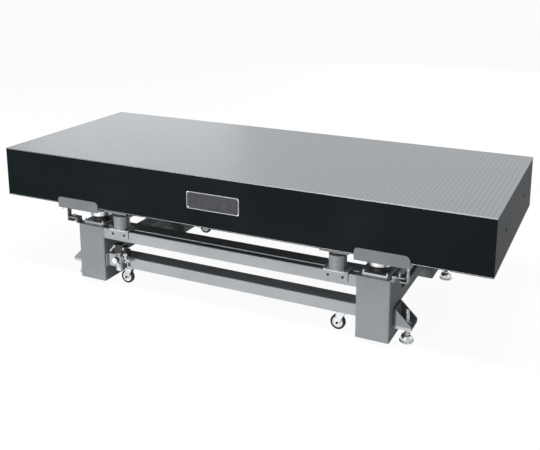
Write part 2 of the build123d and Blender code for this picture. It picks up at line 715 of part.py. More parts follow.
for corner, (sx, sy) in CORNERS.items():
    pivot_x = CASTER_X[sx]
    pivot_y = sy * CASTER_Y
    axle_x = pivot_x - TRAIL
    with BuildPart() as caster_fork:
        with BuildSketch(Plane.XY.offset(CROWN_Z0)):
            with Locations((pivot_x, pivot_y)):
                Rectangle(2 * CROWN_R, 2 * (FORK_IN + FORK_T))
                Circle(KING_R + PIN_GAP, mode=Mode.SUBTRACT)
        extrude(amount=CROWN_T)
        for edge in (-1, 1):
            with BuildSketch(Plane.XZ.offset(-pivot_y - edge * FORK_IN)):
                make_face(fork_cheek(pivot_x, axle_x))
            extrude(amount=-edge * FORK_T)
        with BuildSketch(Plane.XZ.offset(-pivot_y)):
            with Locations((axle_x, WHEEL_Z)):
                Circle(AXLE_R)
        extrude(amount=FORK_IN, both=True)
        for edge in (-1, 1):
            with BuildSketch(Plane.XZ.offset(-pivot_y - edge * (FORK_IN + FORK_T))):
                with Locations((axle_x, WHEEL_Z)):
                    Circle(AXLE_HEAD_R)
            extrude(amount=-edge * AXLE_HEAD_T)
    export(caster_fork, f"caster_fork_{corner}")

    with BuildPart() as caster_wheel:
        with BuildSketch(Plane.XY.offset(WHEEL_Z)):
            wheel_half_section(axle_x, pivot_y)
        revolve(axis=Axis((axle_x, pivot_y, WHEEL_Z), (0, 1, 0)))
    export(caster_wheel, f"caster_wheel_{corner}")


# Air preparation unit: back plate, filter regulator, gauge on its front, shut-off tee, pilot valve.
AIR_BACK_Y = LOWER_FRONT_Y + AIR_BACK_T
with BuildPart() as air_bracket:
    with BuildSketch(Plane.XY.offset(AIR_Z0)):
        Polygon(
            (AIR_X0, -LOWER_FRONT_Y),
            (AIR_X0, -LOWER_FRONT_Y - AIR_FLANGE_D),
            (AIR_X0 + AIR_BACK_T, -LOWER_FRONT_Y - AIR_FLANGE_D),
            (AIR_X0 + AIR_BACK_T, -AIR_BACK_Y),
            (AIR_X1, -AIR_BACK_Y),
            (AIR_X1, -LOWER_FRONT_Y),
            align=None,
        )
    extrude(amount=AIR_Z1 - AIR_Z0)
export(air_bracket, "air_bracket")

with BuildPart() as filter_regulator:
    with BuildSketch(Plane.XY.offset(REG_Z0)):
        with Locations((REG_X, -(REG_FRONT_Y + AIR_BACK_Y) / 2)):
            RectangleRounded(REG_BODY_L, REG_FRONT_Y - AIR_BACK_Y, REG_EDGE)
    extrude(amount=REG_Z1 - REG_Z0)
    with BuildSketch(upright(REG_X, -AIR_Y)):
        Polygon(
            (0, REG_Z0),
            (BOWL_R, REG_Z0),
            (BOWL_R, BOWL_Z0 + BOWL_TOE),
            (BOWL_R - BOWL_TOE, BOWL_Z0),
            (0, BOWL_Z0),
            align=None,
        )
    revolve(axis=Axis((REG_X, -AIR_Y, 0), (0, 0, 1)))
    with BuildSketch(Plane.XY.offset(REG_Z1)):
        with Locations((REG_X, -AIR_Y)):
            Circle(REG_KNOB_R)
    extrude(amount=REG_KNOB_TOP - REG_Z1)
    chamfer(filter_regulator.faces().sort_by(Axis.Z)[-1].edges(), REG_EDGE)
export(filter_regulator, "filter_regulator")

with BuildPart() as pressure_gauge:
    with BuildSketch(Plane.XZ.offset(REG_FRONT_Y)):
        with Locations((GAUGE_X, GAUGE_Z)):
            Circle(GAUGE_STEM_R)
    extrude(amount=GAUGE_Y - GAUGE_T - REG_FRONT_Y)
    with BuildSketch(Plane.XZ.offset(GAUGE_Y - GAUGE_T)):
        with Locations((GAUGE_X, GAUGE_Z)):
            Circle(GAUGE_R)
    extrude(amount=GAUGE_T)
    with BuildSketch(Plane.XZ.offset(GAUGE_Y)):
        with Locations((GAUGE_X, GAUGE_Z)):
            Circle(GAUGE_R - GAUGE_RIM)
    extrude(amount=-GAUGE_RECESS, mode=Mode.SUBTRACT)
export(pressure_gauge, "pressure_gauge")

with BuildPart() as air_valve:
    with BuildSketch(Plane.YZ.offset(REG_X + REG_BODY_L / 2)):
        with Locations((-AIR_Y, VALVE_Z)):
            Circle(VALVE_R)
    extrude(amount=VALVE_X + VALVE_ARM - REG_X - REG_BODY_L / 2)
    with BuildSketch(Plane.XY.offset(VALVE_Z)):
        with Locations((VALVE_X, -AIR_Y)):
            Circle(VALVE_R)
    extrude(amount=VALVE_TOP - VALVE_Z)
    with BuildSketch(Plane.XY.offset(VALVE_TOP - VALVE_NUT_T)):
        with Locations((VALVE_X, -AIR_Y)):
            RegularPolygon(VALVE_NUT_R, 6)
    extrude(amount=VALVE_NUT_T)
    with BuildSketch(Plane.XY.offset(VALVE_Z - VALVE_DROP)):
        with Locations((VALVE_X, -AIR_Y)):
            Circle(VALVE_DROP_R)
    extrude(amount=VALVE_DROP)
export(air_valve, "air_valve")

with BuildPart() as pilot_valve:
    with BuildSketch(Plane.XZ.offset(LOWER_FRONT_Y - PILOT_DEPTH)):
        Polygon(
            (PILOT_X0, LOWER_Z1),
            (PILOT_X1, LOWER_Z1),
            (PILOT_X1, LOWER_Z1 + PILOT_FOOT_H),
            (PILOT_BLOCK_X1, LOWER_Z1 + PILOT_FOOT_H),
            (PILOT_BLOCK_X1, LOWER_Z1 + PILOT_H),
            (PILOT_X0, LOWER_Z1 + PILOT_H),
            align=None,
        )
    extrude(amount=PILOT_DEPTH)
    with BuildSketch(Plane.XZ.offset(LOWER_FRONT_Y - PILOT_DEPTH / 2)):
        with Locations((PILOT_KNOB_X, PILOT_KNOB_Z)):
            Circle(PILOT_KNOB_R)
    extrude(amount=PILOT_DEPTH / 2 + PILOT_KNOB_D)
export(pilot_valve, "pilot_valve")
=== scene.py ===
"""Optical table in a plain studio. Metres, floor at z = 0, front of the table towards -y."""
from math import cos, pi, radians

import bpy
import numpy as np
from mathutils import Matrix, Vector


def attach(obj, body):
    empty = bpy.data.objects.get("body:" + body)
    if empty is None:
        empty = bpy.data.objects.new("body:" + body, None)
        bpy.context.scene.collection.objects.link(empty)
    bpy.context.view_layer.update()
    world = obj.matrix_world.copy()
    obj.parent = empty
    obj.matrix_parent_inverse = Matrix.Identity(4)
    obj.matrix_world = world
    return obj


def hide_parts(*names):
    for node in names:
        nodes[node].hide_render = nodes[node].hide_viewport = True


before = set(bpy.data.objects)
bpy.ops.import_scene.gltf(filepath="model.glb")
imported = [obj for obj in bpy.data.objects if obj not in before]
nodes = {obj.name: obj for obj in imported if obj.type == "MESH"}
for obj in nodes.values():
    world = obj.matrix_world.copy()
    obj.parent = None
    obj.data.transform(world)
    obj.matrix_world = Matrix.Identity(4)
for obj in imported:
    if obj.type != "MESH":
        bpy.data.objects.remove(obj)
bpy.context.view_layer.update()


# Legs: four columns of folded steel plate with rounded corners, open below. They are powder coated in mid
# grey, which comes out with a fine orange peel.
CORNERS = {"front_left": (-1, -1), "front_right": (1, -1), "rear_left": (-1, 1), "rear_right": (1, 1)}
PEEL_SCALE, PEEL_DETAIL, PEEL_STRENGTH, PEEL_HEIGHT = 420.0, 3.0, 0.15, 0.0003
# Paint mirrors little, because at a flat angle it would otherwise pick up the white background
PAINT_SPECULAR = 0.02


def srgb(red, green, blue):
    """Linear colour of a screen colour given in 0 to 255: each channel c goes to
    ((c/255 + 0.055) / 1.055)^2.4."""
    return tuple(((channel / 255 + 0.055) / 1.055) ** 2.4 for channel in (red, green, blue))


def new_finish(name, colour, metallic, roughness, specular=0.5):
    """Material with one principled surface. Returns it, its node tree and the shader."""
    material = bpy.data.materials.new(name)
    material.use_nodes = True
    shader = material.node_tree.nodes["Principled BSDF"]
    shader.inputs["Base Color"].default_value = (*colour, 1)
    shader.inputs["Metallic"].default_value = metallic
    shader.inputs["Roughness"].default_value = roughness
    shader.inputs["Specular IOR Level"].default_value = specular
    return material, material.node_tree, shader


def object_noise(tree, scale, detail=4.0, stretch=(1, 1, 1)):
    """Noise on Object coordinates, squeezed by `stretch` along each axis; returns its value output."""
    place = tree.nodes.new("ShaderNodeTexCoord")
    mapping = tree.nodes.new("ShaderNodeMapping")
    mapping.inputs["Scale"].default_value = stretch
    noise = tree.nodes.new("ShaderNodeTexNoise")
    noise.inputs["Scale"].default_value = scale
    noise.inputs["Detail"].default_value = detail
    tree.links.new(place.outputs["Object"], mapping.inputs["Vector"])
    tree.links.new(mapping.outputs["Vector"], noise.inputs["Vector"])
    return noise.outputs["Fac"]


def tint(tree, shader, value, dark, light):
    """Base colour that runs from `dark` to `light` over the middle of the pattern, from 0.3 to 0.7."""
    ramp = tree.nodes.new("ShaderNodeValToRGB")
    for element, position, colour in zip(ramp.color_ramp.elements, (0.3, 0.7), (dark, light)):
        element.position = position
        element.color = (*colour, 1)
    tree.links.new(value, ramp.inputs["Fac"])
    tree.links.new(ramp.outputs["Color"], shader.inputs["Base Color"])


def gloss_range(tree, shader, value, low, high):
    """Roughness that runs from `low` to `high` with the pattern."""
    spread = tree.nodes.new("ShaderNodeMapRange")
    spread.inputs["To Min"].default_value = low
    spread.inputs["To Max"].default_value = high
    tree.links.new(value, spread.inputs["Value"])
    tree.links.new(spread.outputs["Result"], shader.inputs["Roughness"])


def relief(tree, shader, value, strength, height):
    """Bump from the pattern; `height` is in metres."""
    bump = tree.nodes.new("ShaderNodeBump")
    bump.inputs["Strength"].default_value = strength
    bump.inputs["Distance"].default_value = height
    tree.links.new(value, bump.inputs["Height"])
    tree.links.new(bump.outputs["Normal"], shader.inputs["Normal"])


def powder_coat(name, dark, light):
    """Grey stoved paint: two close greys in large clouds, with a fine peel in gloss and relief."""
    material, tree, shader = new_finish(name, light, 0.0, 0.5, PAINT_SPECULAR)
    tint(tree, shader, object_noise(tree, 3.0, 3.0), dark, light)
    peel = object_noise(tree, PEEL_SCALE, PEEL_DETAIL)
    gloss_range(tree, shader, peel, 0.42, 0.58)
    relief(tree, shader, peel, PEEL_STRENGTH, PEEL_HEIGHT)
    return material


def dress(material, *names):
    """Give CAD nodes a material in all their slots."""
    for name in names:
        for place in nodes[name].material_slots:
            place.material = material


leg_grey = powder_coat("leg_grey", srgb(136, 141, 144), srgb(146, 151, 154))
dress(leg_grey, *(f"leg_{corner}" for corner in CORNERS))

# Rails and beams: two rings of rolled box tube between the legs, in the same paint. It is coloured lighter
# here than on the legs' folded plate, as painted light on the rolled faces.
rail_grey_painted_light = powder_coat("rail_grey_painted_light", srgb(160, 165, 168), srgb(171, 176, 179))
for level in ("upper", "lower"):
    for tube in ("rail_front", "rail_rear", "beam_left", "beam_right"):
        dress(rail_grey_painted_light, f"{level}_{tube}")

# Weld beads where the rails and beams meet the legs, down both faces and along the tops and undersides.
# They are laid in short overlapping ripples and painted over.
LEG_INNER_X, LEG_INNER_Y = 0.804, 0.340
RAIL_LEVELS = {"upper": (0.303, 0.370), "lower": (0.128, 0.195)}
RAIL_FACES_Y = {"upper": (0.408, 0.555), "lower": (0.418, 0.530)}
BEAM_FACES_X = {"upper": (0.874, 0.984), "lower": (0.839, 0.959)}
BEAD_RADIUS, BEAD_COLUMNS, BEAD_INSET, BEAD_CHANCE = 0.0028, 8, 0.005, 0.03
RIPPLE, RIPPLE_ROWS, RIPPLE_DEPTH = 0.0032, 4, 0.14
BEAD_SEED, SHARP_ANGLE = 7, radians(35)


def make_piece(name, shape, material, body="frame", slots=None):
    """One object from a shape, which is an (n, 3) array of points and a list of arrays of faces with 3 or
    more corners each. Edges that bend by more than the sharp angle stay sharp. It rides on `body`, or on
    nothing where that is None. `slots` gives each face array's slot where `material` is a list."""
    points, face_sets = shape
    mesh = bpy.data.meshes.new(name)
    corners = np.concatenate([faces.ravel() for faces in face_sets])
    sizes = np.concatenate([np.full(len(faces), faces.shape[1]) for faces in face_sets])
    mesh.vertices.add(len(points))
    mesh.loops.add(len(corners))
    mesh.polygons.add(len(sizes))
    mesh.vertices.foreach_set("co", np.asarray(points, np.float32).ravel())
    mesh.loops.foreach_set("vertex_index", corners.astype(np.int32))
    mesh.polygons.foreach_set("loop_start", (np.cumsum(sizes) - sizes).astype(np.int32))
    mesh.polygons.foreach_set("use_smooth", np.ones(len(sizes), bool))
    if slots is not None:
        picked = np.concatenate([np.full(len(faces), slot) for faces, slot in zip(face_sets, slots)])
        mesh.polygons.foreach_set("material_index", picked.astype(np.int32))
    mesh.update(calc_edges=True)
    mesh.validate()
    mesh.set_sharp_from_angle(angle=SHARP_ANGLE)
    for layer in material if isinstance(material, list) else [material]:
        mesh.materials.append(layer)
    piece = bpy.data.objects.new(name, mesh)
    bpy.context.scene.collection.objects.link(piece)
    if body is not None:
        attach(piece, body)
    return piece


def wrapped(radius, height, poles):
    """Surface round the z axis: row r, column c of `radius` lies at the angle 2 pi c / columns and at
    `height[r]`. The rows are closed by points on the axis at the two heights in `poles`, or where that is
    None, the last row joins the first and the shape is a ring."""
    angle = np.arange(radius.shape[1]) * 2 * pi / radius.shape[1]
    level = np.broadcast_to(np.asarray(height, float)[:, None], radius.shape)
    points = np.stack([radius * np.cos(angle), radius * np.sin(angle), level], -1).reshape(-1, 3)
    index = np.arange(radius.size).reshape(radius.shape)
    turn = np.roll(index, -1, 1)
    if poles is None:
        up, turn_up = np.roll(index, -1, 0), np.roll(turn, -1, 0)
        return points, [np.stack([index, turn, turn_up, up], -1).reshape(-1, 4)]
    sides = np.stack([index[:-1], turn[:-1], turn[1:], index[1:]], -1).reshape(-1, 4)
    low = np.full(radius.shape[1], len(points))
    caps = np.concatenate([
        np.stack([turn[0], index[0], low], -1), np.stack([index[-1], turn[-1], low + 1], -1),
    ])
    return np.concatenate([points, [[0, 0, poles[0]], [0, 0, poles[1]]]]), [sides, caps]


def merged(*shapes):
    """One shape of several: the points in a row, each one's faces shifted by the points before it."""
    starts = np.cumsum([0] + [len(points) for points, _ in shapes])
    faces = [part + start for (_, face_sets), start in zip(shapes, starts) for part in face_sets]
    return np.concatenate([points for points, _ in shapes]), faces


def repeated(shape, spots):
    """The shape moved to each of `spots`, with each copy's faces shifted by whole copies."""
    points, face_sets = shape
    spots = np.asarray(spots, float).reshape(-1, 3)
    shift = (np.arange(len(spots)) * len(points))[:, None, None]
    copies = (points[None] + spots[:, None]).reshape(-1, 3)
    return copies, [(faces[None] + shift).reshape(-1, faces.shape[1]) for faces in face_sets]


def aimed(shape, way):
    """The shape with its z axis turned to `way`: points times a matrix whose third row is that way."""
    third = np.asarray(way, float) / np.linalg.norm(way)
    first = np.cross((1, 0, 0) if abs(third[0]) < 0.9 else (0, 1, 0), third)
    first = first / np.linalg.norm(first)
    return shape[0] @ np.stack([first, np.cross(third, first), third]), shape[1]


def bead(length):
    """Weld bead along z: its radius falls by a ripple's depth times 1 - |cos| of the ripples, and differs by
    a few percent of chance."""
    rows = int(length / RIPPLE * RIPPLE_ROWS)
    height = np.linspace(0, length, rows)
    chance = np.random.default_rng(BEAD_SEED).normal(0, BEAD_CHANCE, (rows, BEAD_COLUMNS))
    ripple = 1 - RIPPLE_DEPTH + RIPPLE_DEPTH * np.abs(np.cos(height * pi / RIPPLE))[:, None]
    return wrapped(BEAD_RADIUS * (ripple + chance), height, (0, length))


beads = []
for level, (low_z, high_z) in RAIL_LEVELS.items():
    upright = bead(high_z - low_z - 2 * BEAD_INSET)
    for sx, sy in CORNERS.values():
        inner, outer = RAIL_FACES_Y[level]
        upright_feet = [(sx * LEG_INNER_X, sy * face, low_z + BEAD_INSET) for face in (inner, outer)]
        flat = aimed(bead(outer - inner - 2 * BEAD_INSET), (0, sy, 0))
        flat_feet = [(sx * LEG_INNER_X, sy * (inner + BEAD_INSET), z) for z in (low_z, high_z)]
        beads += [repeated(upright, upright_feet), repeated(flat, flat_feet)]
        inner, outer = BEAM_FACES_X[level]
        upright_feet = [(sx * face, sy * LEG_INNER_Y, low_z + BEAD_INSET) for face in (inner, outer)]
        flat = aimed(bead(outer - inner - 2 * BEAD_INSET), (sx, 0, 0))
        flat_feet = [(sx * (inner + BEAD_INSET), sy * LEG_INNER_Y, z) for z in (low_z, high_z)]
        beads += [repeated(upright, upright_feet), repeated(flat, flat_feet)]
make_piece("weld_beads", merged(*beads), rail_grey_painted_light)


# Foot brackets: a flange on each leg's outer side with two gussets, painted and welded to a thick shelf.
# Below the shelf's top the bracket is coloured paler, as a painted highlight on the lit edge of the shelf.
SHELF_TOP = 0.102


def height_bands(tree, shader, bands):
    """Base colour by height on the piece: `bands` lists (height in metres, colour) from below, each colour
    holding up to the next height. The ramp reads Object z over one metre."""
    place = tree.nodes.new("ShaderNodeTexCoord")
    parts = tree.nodes.new("ShaderNodeSeparateXYZ")
    ramp = tree.nodes.new("ShaderNodeValToRGB")
    ramp.color_ramp.interpolation = "CONSTANT"
    tree.links.new(place.outputs["Object"], parts.inputs[0])
    tree.links.new(parts.outputs["Z"], ramp.inputs["Fac"])
    elements = ramp.color_ramp.elements
    elements.remove(elements[1])
    elements[0].position, elements[0].color = bands[0][0], (*bands[0][1], 1)
    for height, colour in bands[1:]:
        elements.new(height).color = (*colour, 1)
    tree.links.new(ramp.outputs["Color"], shader.inputs["Base Color"])


bracket_colour = srgb(145, 150, 153)
bracket_paint_lit_shelf, tree, shader = new_finish("bracket_paint_lit_shelf", bracket_colour, 0.0, 0.5, PAINT_SPECULAR)
# Paler below the shelf's top: a painted highlight on the lit shelf edge.
height_bands(tree, shader, [(0.0, srgb(200, 203, 205)), (SHELF_TOP, bracket_colour)])
relief(tree, shader, object_noise(tree, PEEL_SCALE, PEEL_DETAIL), PEEL_STRENGTH, PEEL_HEIGHT)
dress(bracket_paint_lit_shelf, *(f"foot_bracket_{corner}" for corner in CORNERS))

# Levelling feet: bell-shaped pads of chromed steel on threaded stems, each with a lock nut on the shelf.
# The stem's thread is cut to its full length, and the nut's corners are chamfered.
FOOT_X, FOOT_Y = 1.050, 0.440
PAD_RADIUS, PAD_RIM, PAD_CHAMFER, PAD_TOP = 0.039, 0.010, 0.002, 0.048
DOME_OUT, DOME_IN, DOME_HEIGHT, COLLAR_RADIUS = 0.034, 0.019, 0.032, 0.016
STEM_RADIUS, STEM_TOP, STEM_COLUMNS = 0.011, 0.186, 40
THREAD_PITCH, THREAD_DEPTH, TIP_LENGTH, TIP_TAPER = 0.0025, 0.0013, 0.002, 0.0015
NUT_FLATS, NUT_HEIGHT, NUT_BORE = 0.034, 0.014, 0.0112


def at_corners(x, y, z):
    """The place (x, y, z) and its mirror images at the table's four corners."""
    return [(sx * x, sy * y, z) for sx, sy in CORNERS.values()]


def turned(profile, segments=32, ring=False):
    """Profile of (radius, height) turned about z. An open one goes from the axis below to the axis above. A
    ring's section is a closed loop that goes up on its outside."""
    profile = np.asarray(profile, float)
    rows = profile if ring else profile[1:-1]
    radius = np.repeat(rows[:, :1], segments, 1)
    return wrapped(radius, rows[:, 1], None if ring else (profile[0, 1], profile[-1, 1]))


def bright_metal(name, dark, light, low, high):
    """Plated metal: two close tones and a slightly uneven gloss, both in small clouds."""
    material, tree, shader = new_finish(name, light, 1.0, high)
    cloud = object_noise(tree, 60.0, 3.0)
    tint(tree, shader, cloud, dark, light)
    gloss_range(tree, shader, cloud, low, high)
    return material


def levelling_foot():
    """Pad and stem in one, with the stem's faces as a second array. The pad's profile is turned about z, with
    a dome of radius 19 + 15 cos t and height 10 + 32 sin t in millimetres. Above it, the stem's radius falls
    by the thread's depth times the triangle wave |2 s - 1| of s, the fraction of height over pitch less angle
    over a full turn."""
    sweep = np.linspace(0, pi / 2, 12)
    dome = np.column_stack([
        DOME_IN + (DOME_OUT - DOME_IN) * np.cos(sweep), PAD_RIM + DOME_HEIGHT * np.sin(sweep),
    ])
    pad = np.concatenate([
        [(PAD_RADIUS - PAD_CHAMFER, 0), (PAD_RADIUS, PAD_CHAMFER)],
        [(PAD_RADIUS, PAD_RIM - PAD_CHAMFER), (PAD_RADIUS - PAD_CHAMFER, PAD_RIM)],
        dome,
        [(COLLAR_RADIUS, PAD_RIM + DOME_HEIGHT), (COLLAR_RADIUS, PAD_TOP), (STEM_RADIUS, PAD_TOP)],
    ])
    height = np.arange(PAD_TOP, STEM_TOP - TIP_LENGTH, THREAD_PITCH / 4)
    turn = height[:, None] / THREAD_PITCH - np.arange(STEM_COLUMNS) / STEM_COLUMNS
    stem = STEM_RADIUS - THREAD_DEPTH * np.abs(2 * (turn % 1) - 1)
    tip = np.full((2, STEM_COLUMNS), STEM_RADIUS - THREAD_DEPTH)
    tip[1] -= TIP_TAPER
    radius = np.concatenate([np.repeat(pad[:, :1], STEM_COLUMNS, 1), stem, tip])
    levels = np.concatenate([pad[:, 1], height, [STEM_TOP - TIP_TAPER, STEM_TOP]])
    points, (sides, caps) = wrapped(radius, levels, (0, STEM_TOP))
    first = (len(pad) - 1) * STEM_COLUMNS
    return points, [sides[:first], sides[first:], caps]


def hexagon_nut(flats, height, bore):
    """Six-sided ring about z: corner radius is half the width over flats divided by cos 30 degrees, and the
    corners are taken down by a tenth at both ends."""
    corner = flats / 2 / cos(pi / 6)
    bevel = corner * 0.1
    return turned([
        (corner - bevel, 0), (corner, bevel * 0.6), (corner, height - bevel * 0.6),
        (corner - bevel, height), (bore, height), (bore, 0),
    ], 6, ring=True)


chrome = bright_metal("chrome", srgb(176, 179, 182), srgb(214, 216, 218), 0.06, 0.16)
zinc = bright_metal("zinc", srgb(178, 182, 186), srgb(212, 215, 218), 0.28, 0.42)
foot_shape = levelling_foot()
for corner, (sx, sy) in CORNERS.items():
    shape = repeated(foot_shape, (sx * FOOT_X, sy * FOOT_Y, 0))
    foot = make_piece(f"levelling_foot_threaded_{corner}", shape, [chrome, zinc], f"foot_{corner}",
                      slots=(0, 1, 0))
    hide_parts(f"levelling_foot_{corner}")
nuts = repeated(hexagon_nut(NUT_FLATS, NUT_HEIGHT, NUT_BORE), at_corners(FOOT_X, FOOT_Y, SHELF_TOP))
lock_nuts = make_piece("lock_nuts_chamfered", nuts, zinc)
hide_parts("foot_lock_nuts")

# Casters: a black rubber tyre on a pale wheel, a pressed and plated fork that swivels under a bolted plate,
# and a dark nut on each end of the axle.
CASTER_X = {-1: -0.678, 1: 0.699}
CASTER_Y, TRAIL, AXLE_HEIGHT = 0.474, 0.020, 0.0475
WHEEL_RADIUS, WHEEL_HALF, TYRE_INNER, TYRE_SHOULDER, TYRE_CORNER = 0.042, 0.012, 0.0295, 0.004, 0.0012
DISC_HALF, WEB_HALF, DISC_LIP = 0.011, 0.0095, 0.002
HUB_RADIUS, HUB_HALF, HUB_CHAMFER, AXLE_BORE = 0.011, 0.0135, 0.001, 0.00506
FORK_FACE, AXLE_NUT_FLATS, AXLE_NUT_HEIGHT = 0.0185, 0.014, 0.006
PLATE_BOTTOM, BOLT_X, BOLT_Y = 0.122, 0.043, 0.033
BOLT_FLATS, BOLT_HEIGHT, BOLT_WASHER = 0.010, 0.0042, 0.0075


def mottled(name, dark, light, clouds, metallic, roughness, specular=0.5):
    """Finish whose colour goes between `dark` and `light` in clouds, given as object_noise takes them."""
    material, tree, shader = new_finish(name, light, metallic, roughness, specular)
    tint(tree, shader, object_noise(tree, *clouds), dark, light)
    return material


def mirrored_section(upper):
    """Closed section of a wheel from its upper half, which is mirrored in the wheel's middle plane."""
    return [(radius, -height) for radius, height in reversed(upper)] + upper


def hexagon_head(flats, height, washer=0.0):
    """Screw head about z: a washer of the given radius, then a hexagon whose top corners are bevelled."""
    corner = flats / 2 / cos(pi / 6)
    base = 0.0016 if washer else 0.0
    head = turned([(0, base), (corner, base), (corner, base + height * 0.8),
                   (corner * 0.88, base + height), (0, base + height)], 6)
    if not washer:
        return head
    return merged(turned([(0, 0), (washer, 0), (washer, base), (0, base)], 20), head)


tyre_section = mirrored_section([
    (WHEEL_RADIUS, WHEEL_HALF - TYRE_SHOULDER), (WHEEL_RADIUS - TYRE_CORNER, WHEEL_HALF - TYRE_CORNER),
    (WHEEL_RADIUS - TYRE_SHOULDER, WHEEL_HALF), (TYRE_INNER, WHEEL_HALF),
])
disc_section = mirrored_section([
    (TYRE_INNER, DISC_HALF), (TYRE_INNER - DISC_LIP, DISC_HALF), (TYRE_INNER - 2 * DISC_LIP, WEB_HALF),
    (HUB_RADIUS + DISC_LIP, WEB_HALF), (HUB_RADIUS, HUB_HALF - HUB_CHAMFER),
    (HUB_RADIUS - HUB_CHAMFER, HUB_HALF), (AXLE_BORE, HUB_HALF),
])
tyre_black, tree, shader = new_finish("tyre_black", srgb(24, 24, 25), 0.0, 0.6, 0.3)
rubbed = object_noise(tree, 160.0)
tint(tree, shader, rubbed, srgb(19, 19, 20), srgb(32, 32, 33))
gloss_range(tree, shader, rubbed, 0.5, 0.72)
wheel_pale = mottled("wheel_pale", srgb(222, 223, 224), srgb(236, 237, 238), (50.0, 3.0), 0.0, 0.35)
dark_steel = mottled("dark_steel", srgb(32, 33, 35), srgb(56, 58, 60), (90.0, 3.0), 0.7, 0.4)
tyre_shape = aimed(turned(tyre_section, 56, ring=True), (0, -1, 0))
disc_shape = aimed(turned(disc_section, 48, ring=True), (0, -1, 0))
axle_nut = hexagon_head(AXLE_NUT_FLATS, AXLE_NUT_HEIGHT)
plate_bolt = aimed(hexagon_head(BOLT_FLATS, BOLT_HEIGHT, BOLT_WASHER), (0, 0, -1))
plate_bolts = []
for corner, (sx, sy) in CORNERS.items():
    centre = np.array((CASTER_X[sx] - TRAIL, sy * CASTER_Y, AXLE_HEIGHT))
    tyre = make_piece(f"caster_tyre_{corner}", repeated(tyre_shape, centre), tyre_black, f"wheel_{corner}")
    disc = make_piece(f"caster_disc_{corner}", repeated(disc_shape, centre), wheel_pale, f"wheel_{corner}")
    for piece, finish in ((tyre, "tyre"), (disc, "white_plastic")):
        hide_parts(f"caster_wheel_{corner}")
    nuts = [repeated(aimed(axle_nut, (0, way, 0)), centre + (0, way * FORK_FACE, 0)) for way in (-1, 1)]
    make_piece(f"axle_nuts_{corner}", merged(*nuts), dark_steel, f"swivel_{corner}")
    plate_bolts.append(repeated(plate_bolt, [
        (CASTER_X[sx] + dx * BOLT_X, sy * CASTER_Y + dy * BOLT_Y, PLATE_BOTTOM) for dx, dy in CORNERS.values()
    ]))
make_piece("caster_plate_bolts", merged(*plate_bolts), zinc)
dress(zinc, "caster_plates", *(f"caster_fork_{corner}" for corner in CORNERS))

# Air unit on the lower front rail: a folded and painted bracket, and a filter regulator cast in light alloy
# with a ribbed knob and a bowl in a guard of stacked rings. Two dark hexagon plugs close its spare ports.
AIR_Y, REGULATOR_X, REGULATOR_FRONT = -0.562, -0.694, -0.582
KNOB_BOTTOM, KNOB_TOP, KNOB_RADIUS = 0.212, 0.226, 0.016
RIB_DEPTH, RIB_WIDTH, RIB_INSET, RIB_COUNT = 0.0012, 0.0020, 0.002, 24
BOWL_RADIUS, BOWL_LOW, BOWL_HIGH, BOWL_RINGS, RING_GAP, RING_BULGE = 0.018, 0.126, 0.162, 5, 0.0005, 0.0022
PORT_REACH, PORT_Z, PORT_FLATS, PORT_HEIGHT = 0.018, 0.173, 0.011, 0.003
BRACKET_FACE, BRACKET_SCREWS_X, BRACKET_SCREWS_Z = -0.534, (-0.784, -0.6425), (0.134, 0.190)
dress(rail_grey_painted_light, "air_bracket")


def block(length, width, height):
    """Box with its middle at the origin: eight corners and six outward faces."""
    signs = np.array([(x, y, z) for z in (-1, 1) for y in (-1, 1) for x in (-1, 1)], float)
    faces = np.array([(0, 2, 3, 1), (4, 5, 7, 6), (0, 1, 5, 4), (2, 6, 7, 3), (0, 4, 6, 2), (1, 3, 7, 5)])
    return signs * (length / 2, width / 2, height / 2), [faces]


def spun(shape, angles):
    """Copies of the shape turned about z by each of `angles`."""
    angles = np.asarray(angles, float)
    cosine, sine, zero = np.cos(angles), np.sin(angles), np.zeros(len(angles))
    turns = np.stack([
        np.stack([cosine, sine, zero], -1), np.stack([-sine, cosine, zero], -1),
        np.stack([zero, zero, zero + 1], -1),
    ], 1)
    shift = (np.arange(len(angles)) * len(shape[0]))[:, None, None]
    return (shape[0] @ turns).reshape(-1, 3), [
        (faces[None] + shift).reshape(-1, faces.shape[1]) for faces in shape[1]
    ]


cast_light, tree, shader = new_finish("cast_light", srgb(196, 199, 201), 0.6, 0.38)
grit = object_noise(tree, 500.0, 3.0)
tint(tree, shader, grit, srgb(186, 189, 191), srgb(208, 211, 213))
relief(tree, shader, grit, 0.2, 0.0002)
dress(cast_light, "filter_regulator")
rib = repeated(block(RIB_DEPTH, RIB_WIDTH, KNOB_TOP - KNOB_BOTTOM - 2 * RIB_INSET), (KNOB_RADIUS, 0, 0))
ribs = spun(rib, np.arange(RIB_COUNT) * 2 * pi / RIB_COUNT)
knob_centre = (REGULATOR_X, AIR_Y, (KNOB_BOTTOM + KNOB_TOP) / 2)
make_piece("regulator_knob_ribs", repeated(ribs, knob_centre), dark_steel)
ring_high = (BOWL_HIGH - BOWL_LOW) / BOWL_RINGS
guard_ring = turned([
    (BOWL_RADIUS + RING_GAP, 0.0), (BOWL_RADIUS + RING_BULGE, ring_high * 0.25),
    (BOWL_RADIUS + RING_BULGE, ring_high * 0.6), (BOWL_RADIUS + RING_GAP, ring_high * 0.85),
    (BOWL_RADIUS - RING_GAP, ring_high * 0.85), (BOWL_RADIUS - RING_GAP, 0.0),
], 40, ring=True)
guard_spots = [(REGULATOR_X, AIR_Y, BOWL_LOW + ring_high * step) for step in range(BOWL_RINGS)]
make_piece("regulator_bowl_guard", repeated(guard_ring, guard_spots), zinc)
port_plug = aimed(hexagon_head(PORT_FLATS, PORT_HEIGHT), (0, -1, 0))
port_spots = [(REGULATOR_X + side * PORT_REACH, REGULATOR_FRONT, PORT_Z) for side in (-1, 1)]
make_piece("regulator_port_plugs", repeated(port_plug, port_spots), dark_steel)
round_head = aimed(turned([(0, 0), (0.0042, 0), (0.0040, 0.0014), (0.0026, 0.0026), (0, 0.0030)], 20),
                   (0, -1, 0))
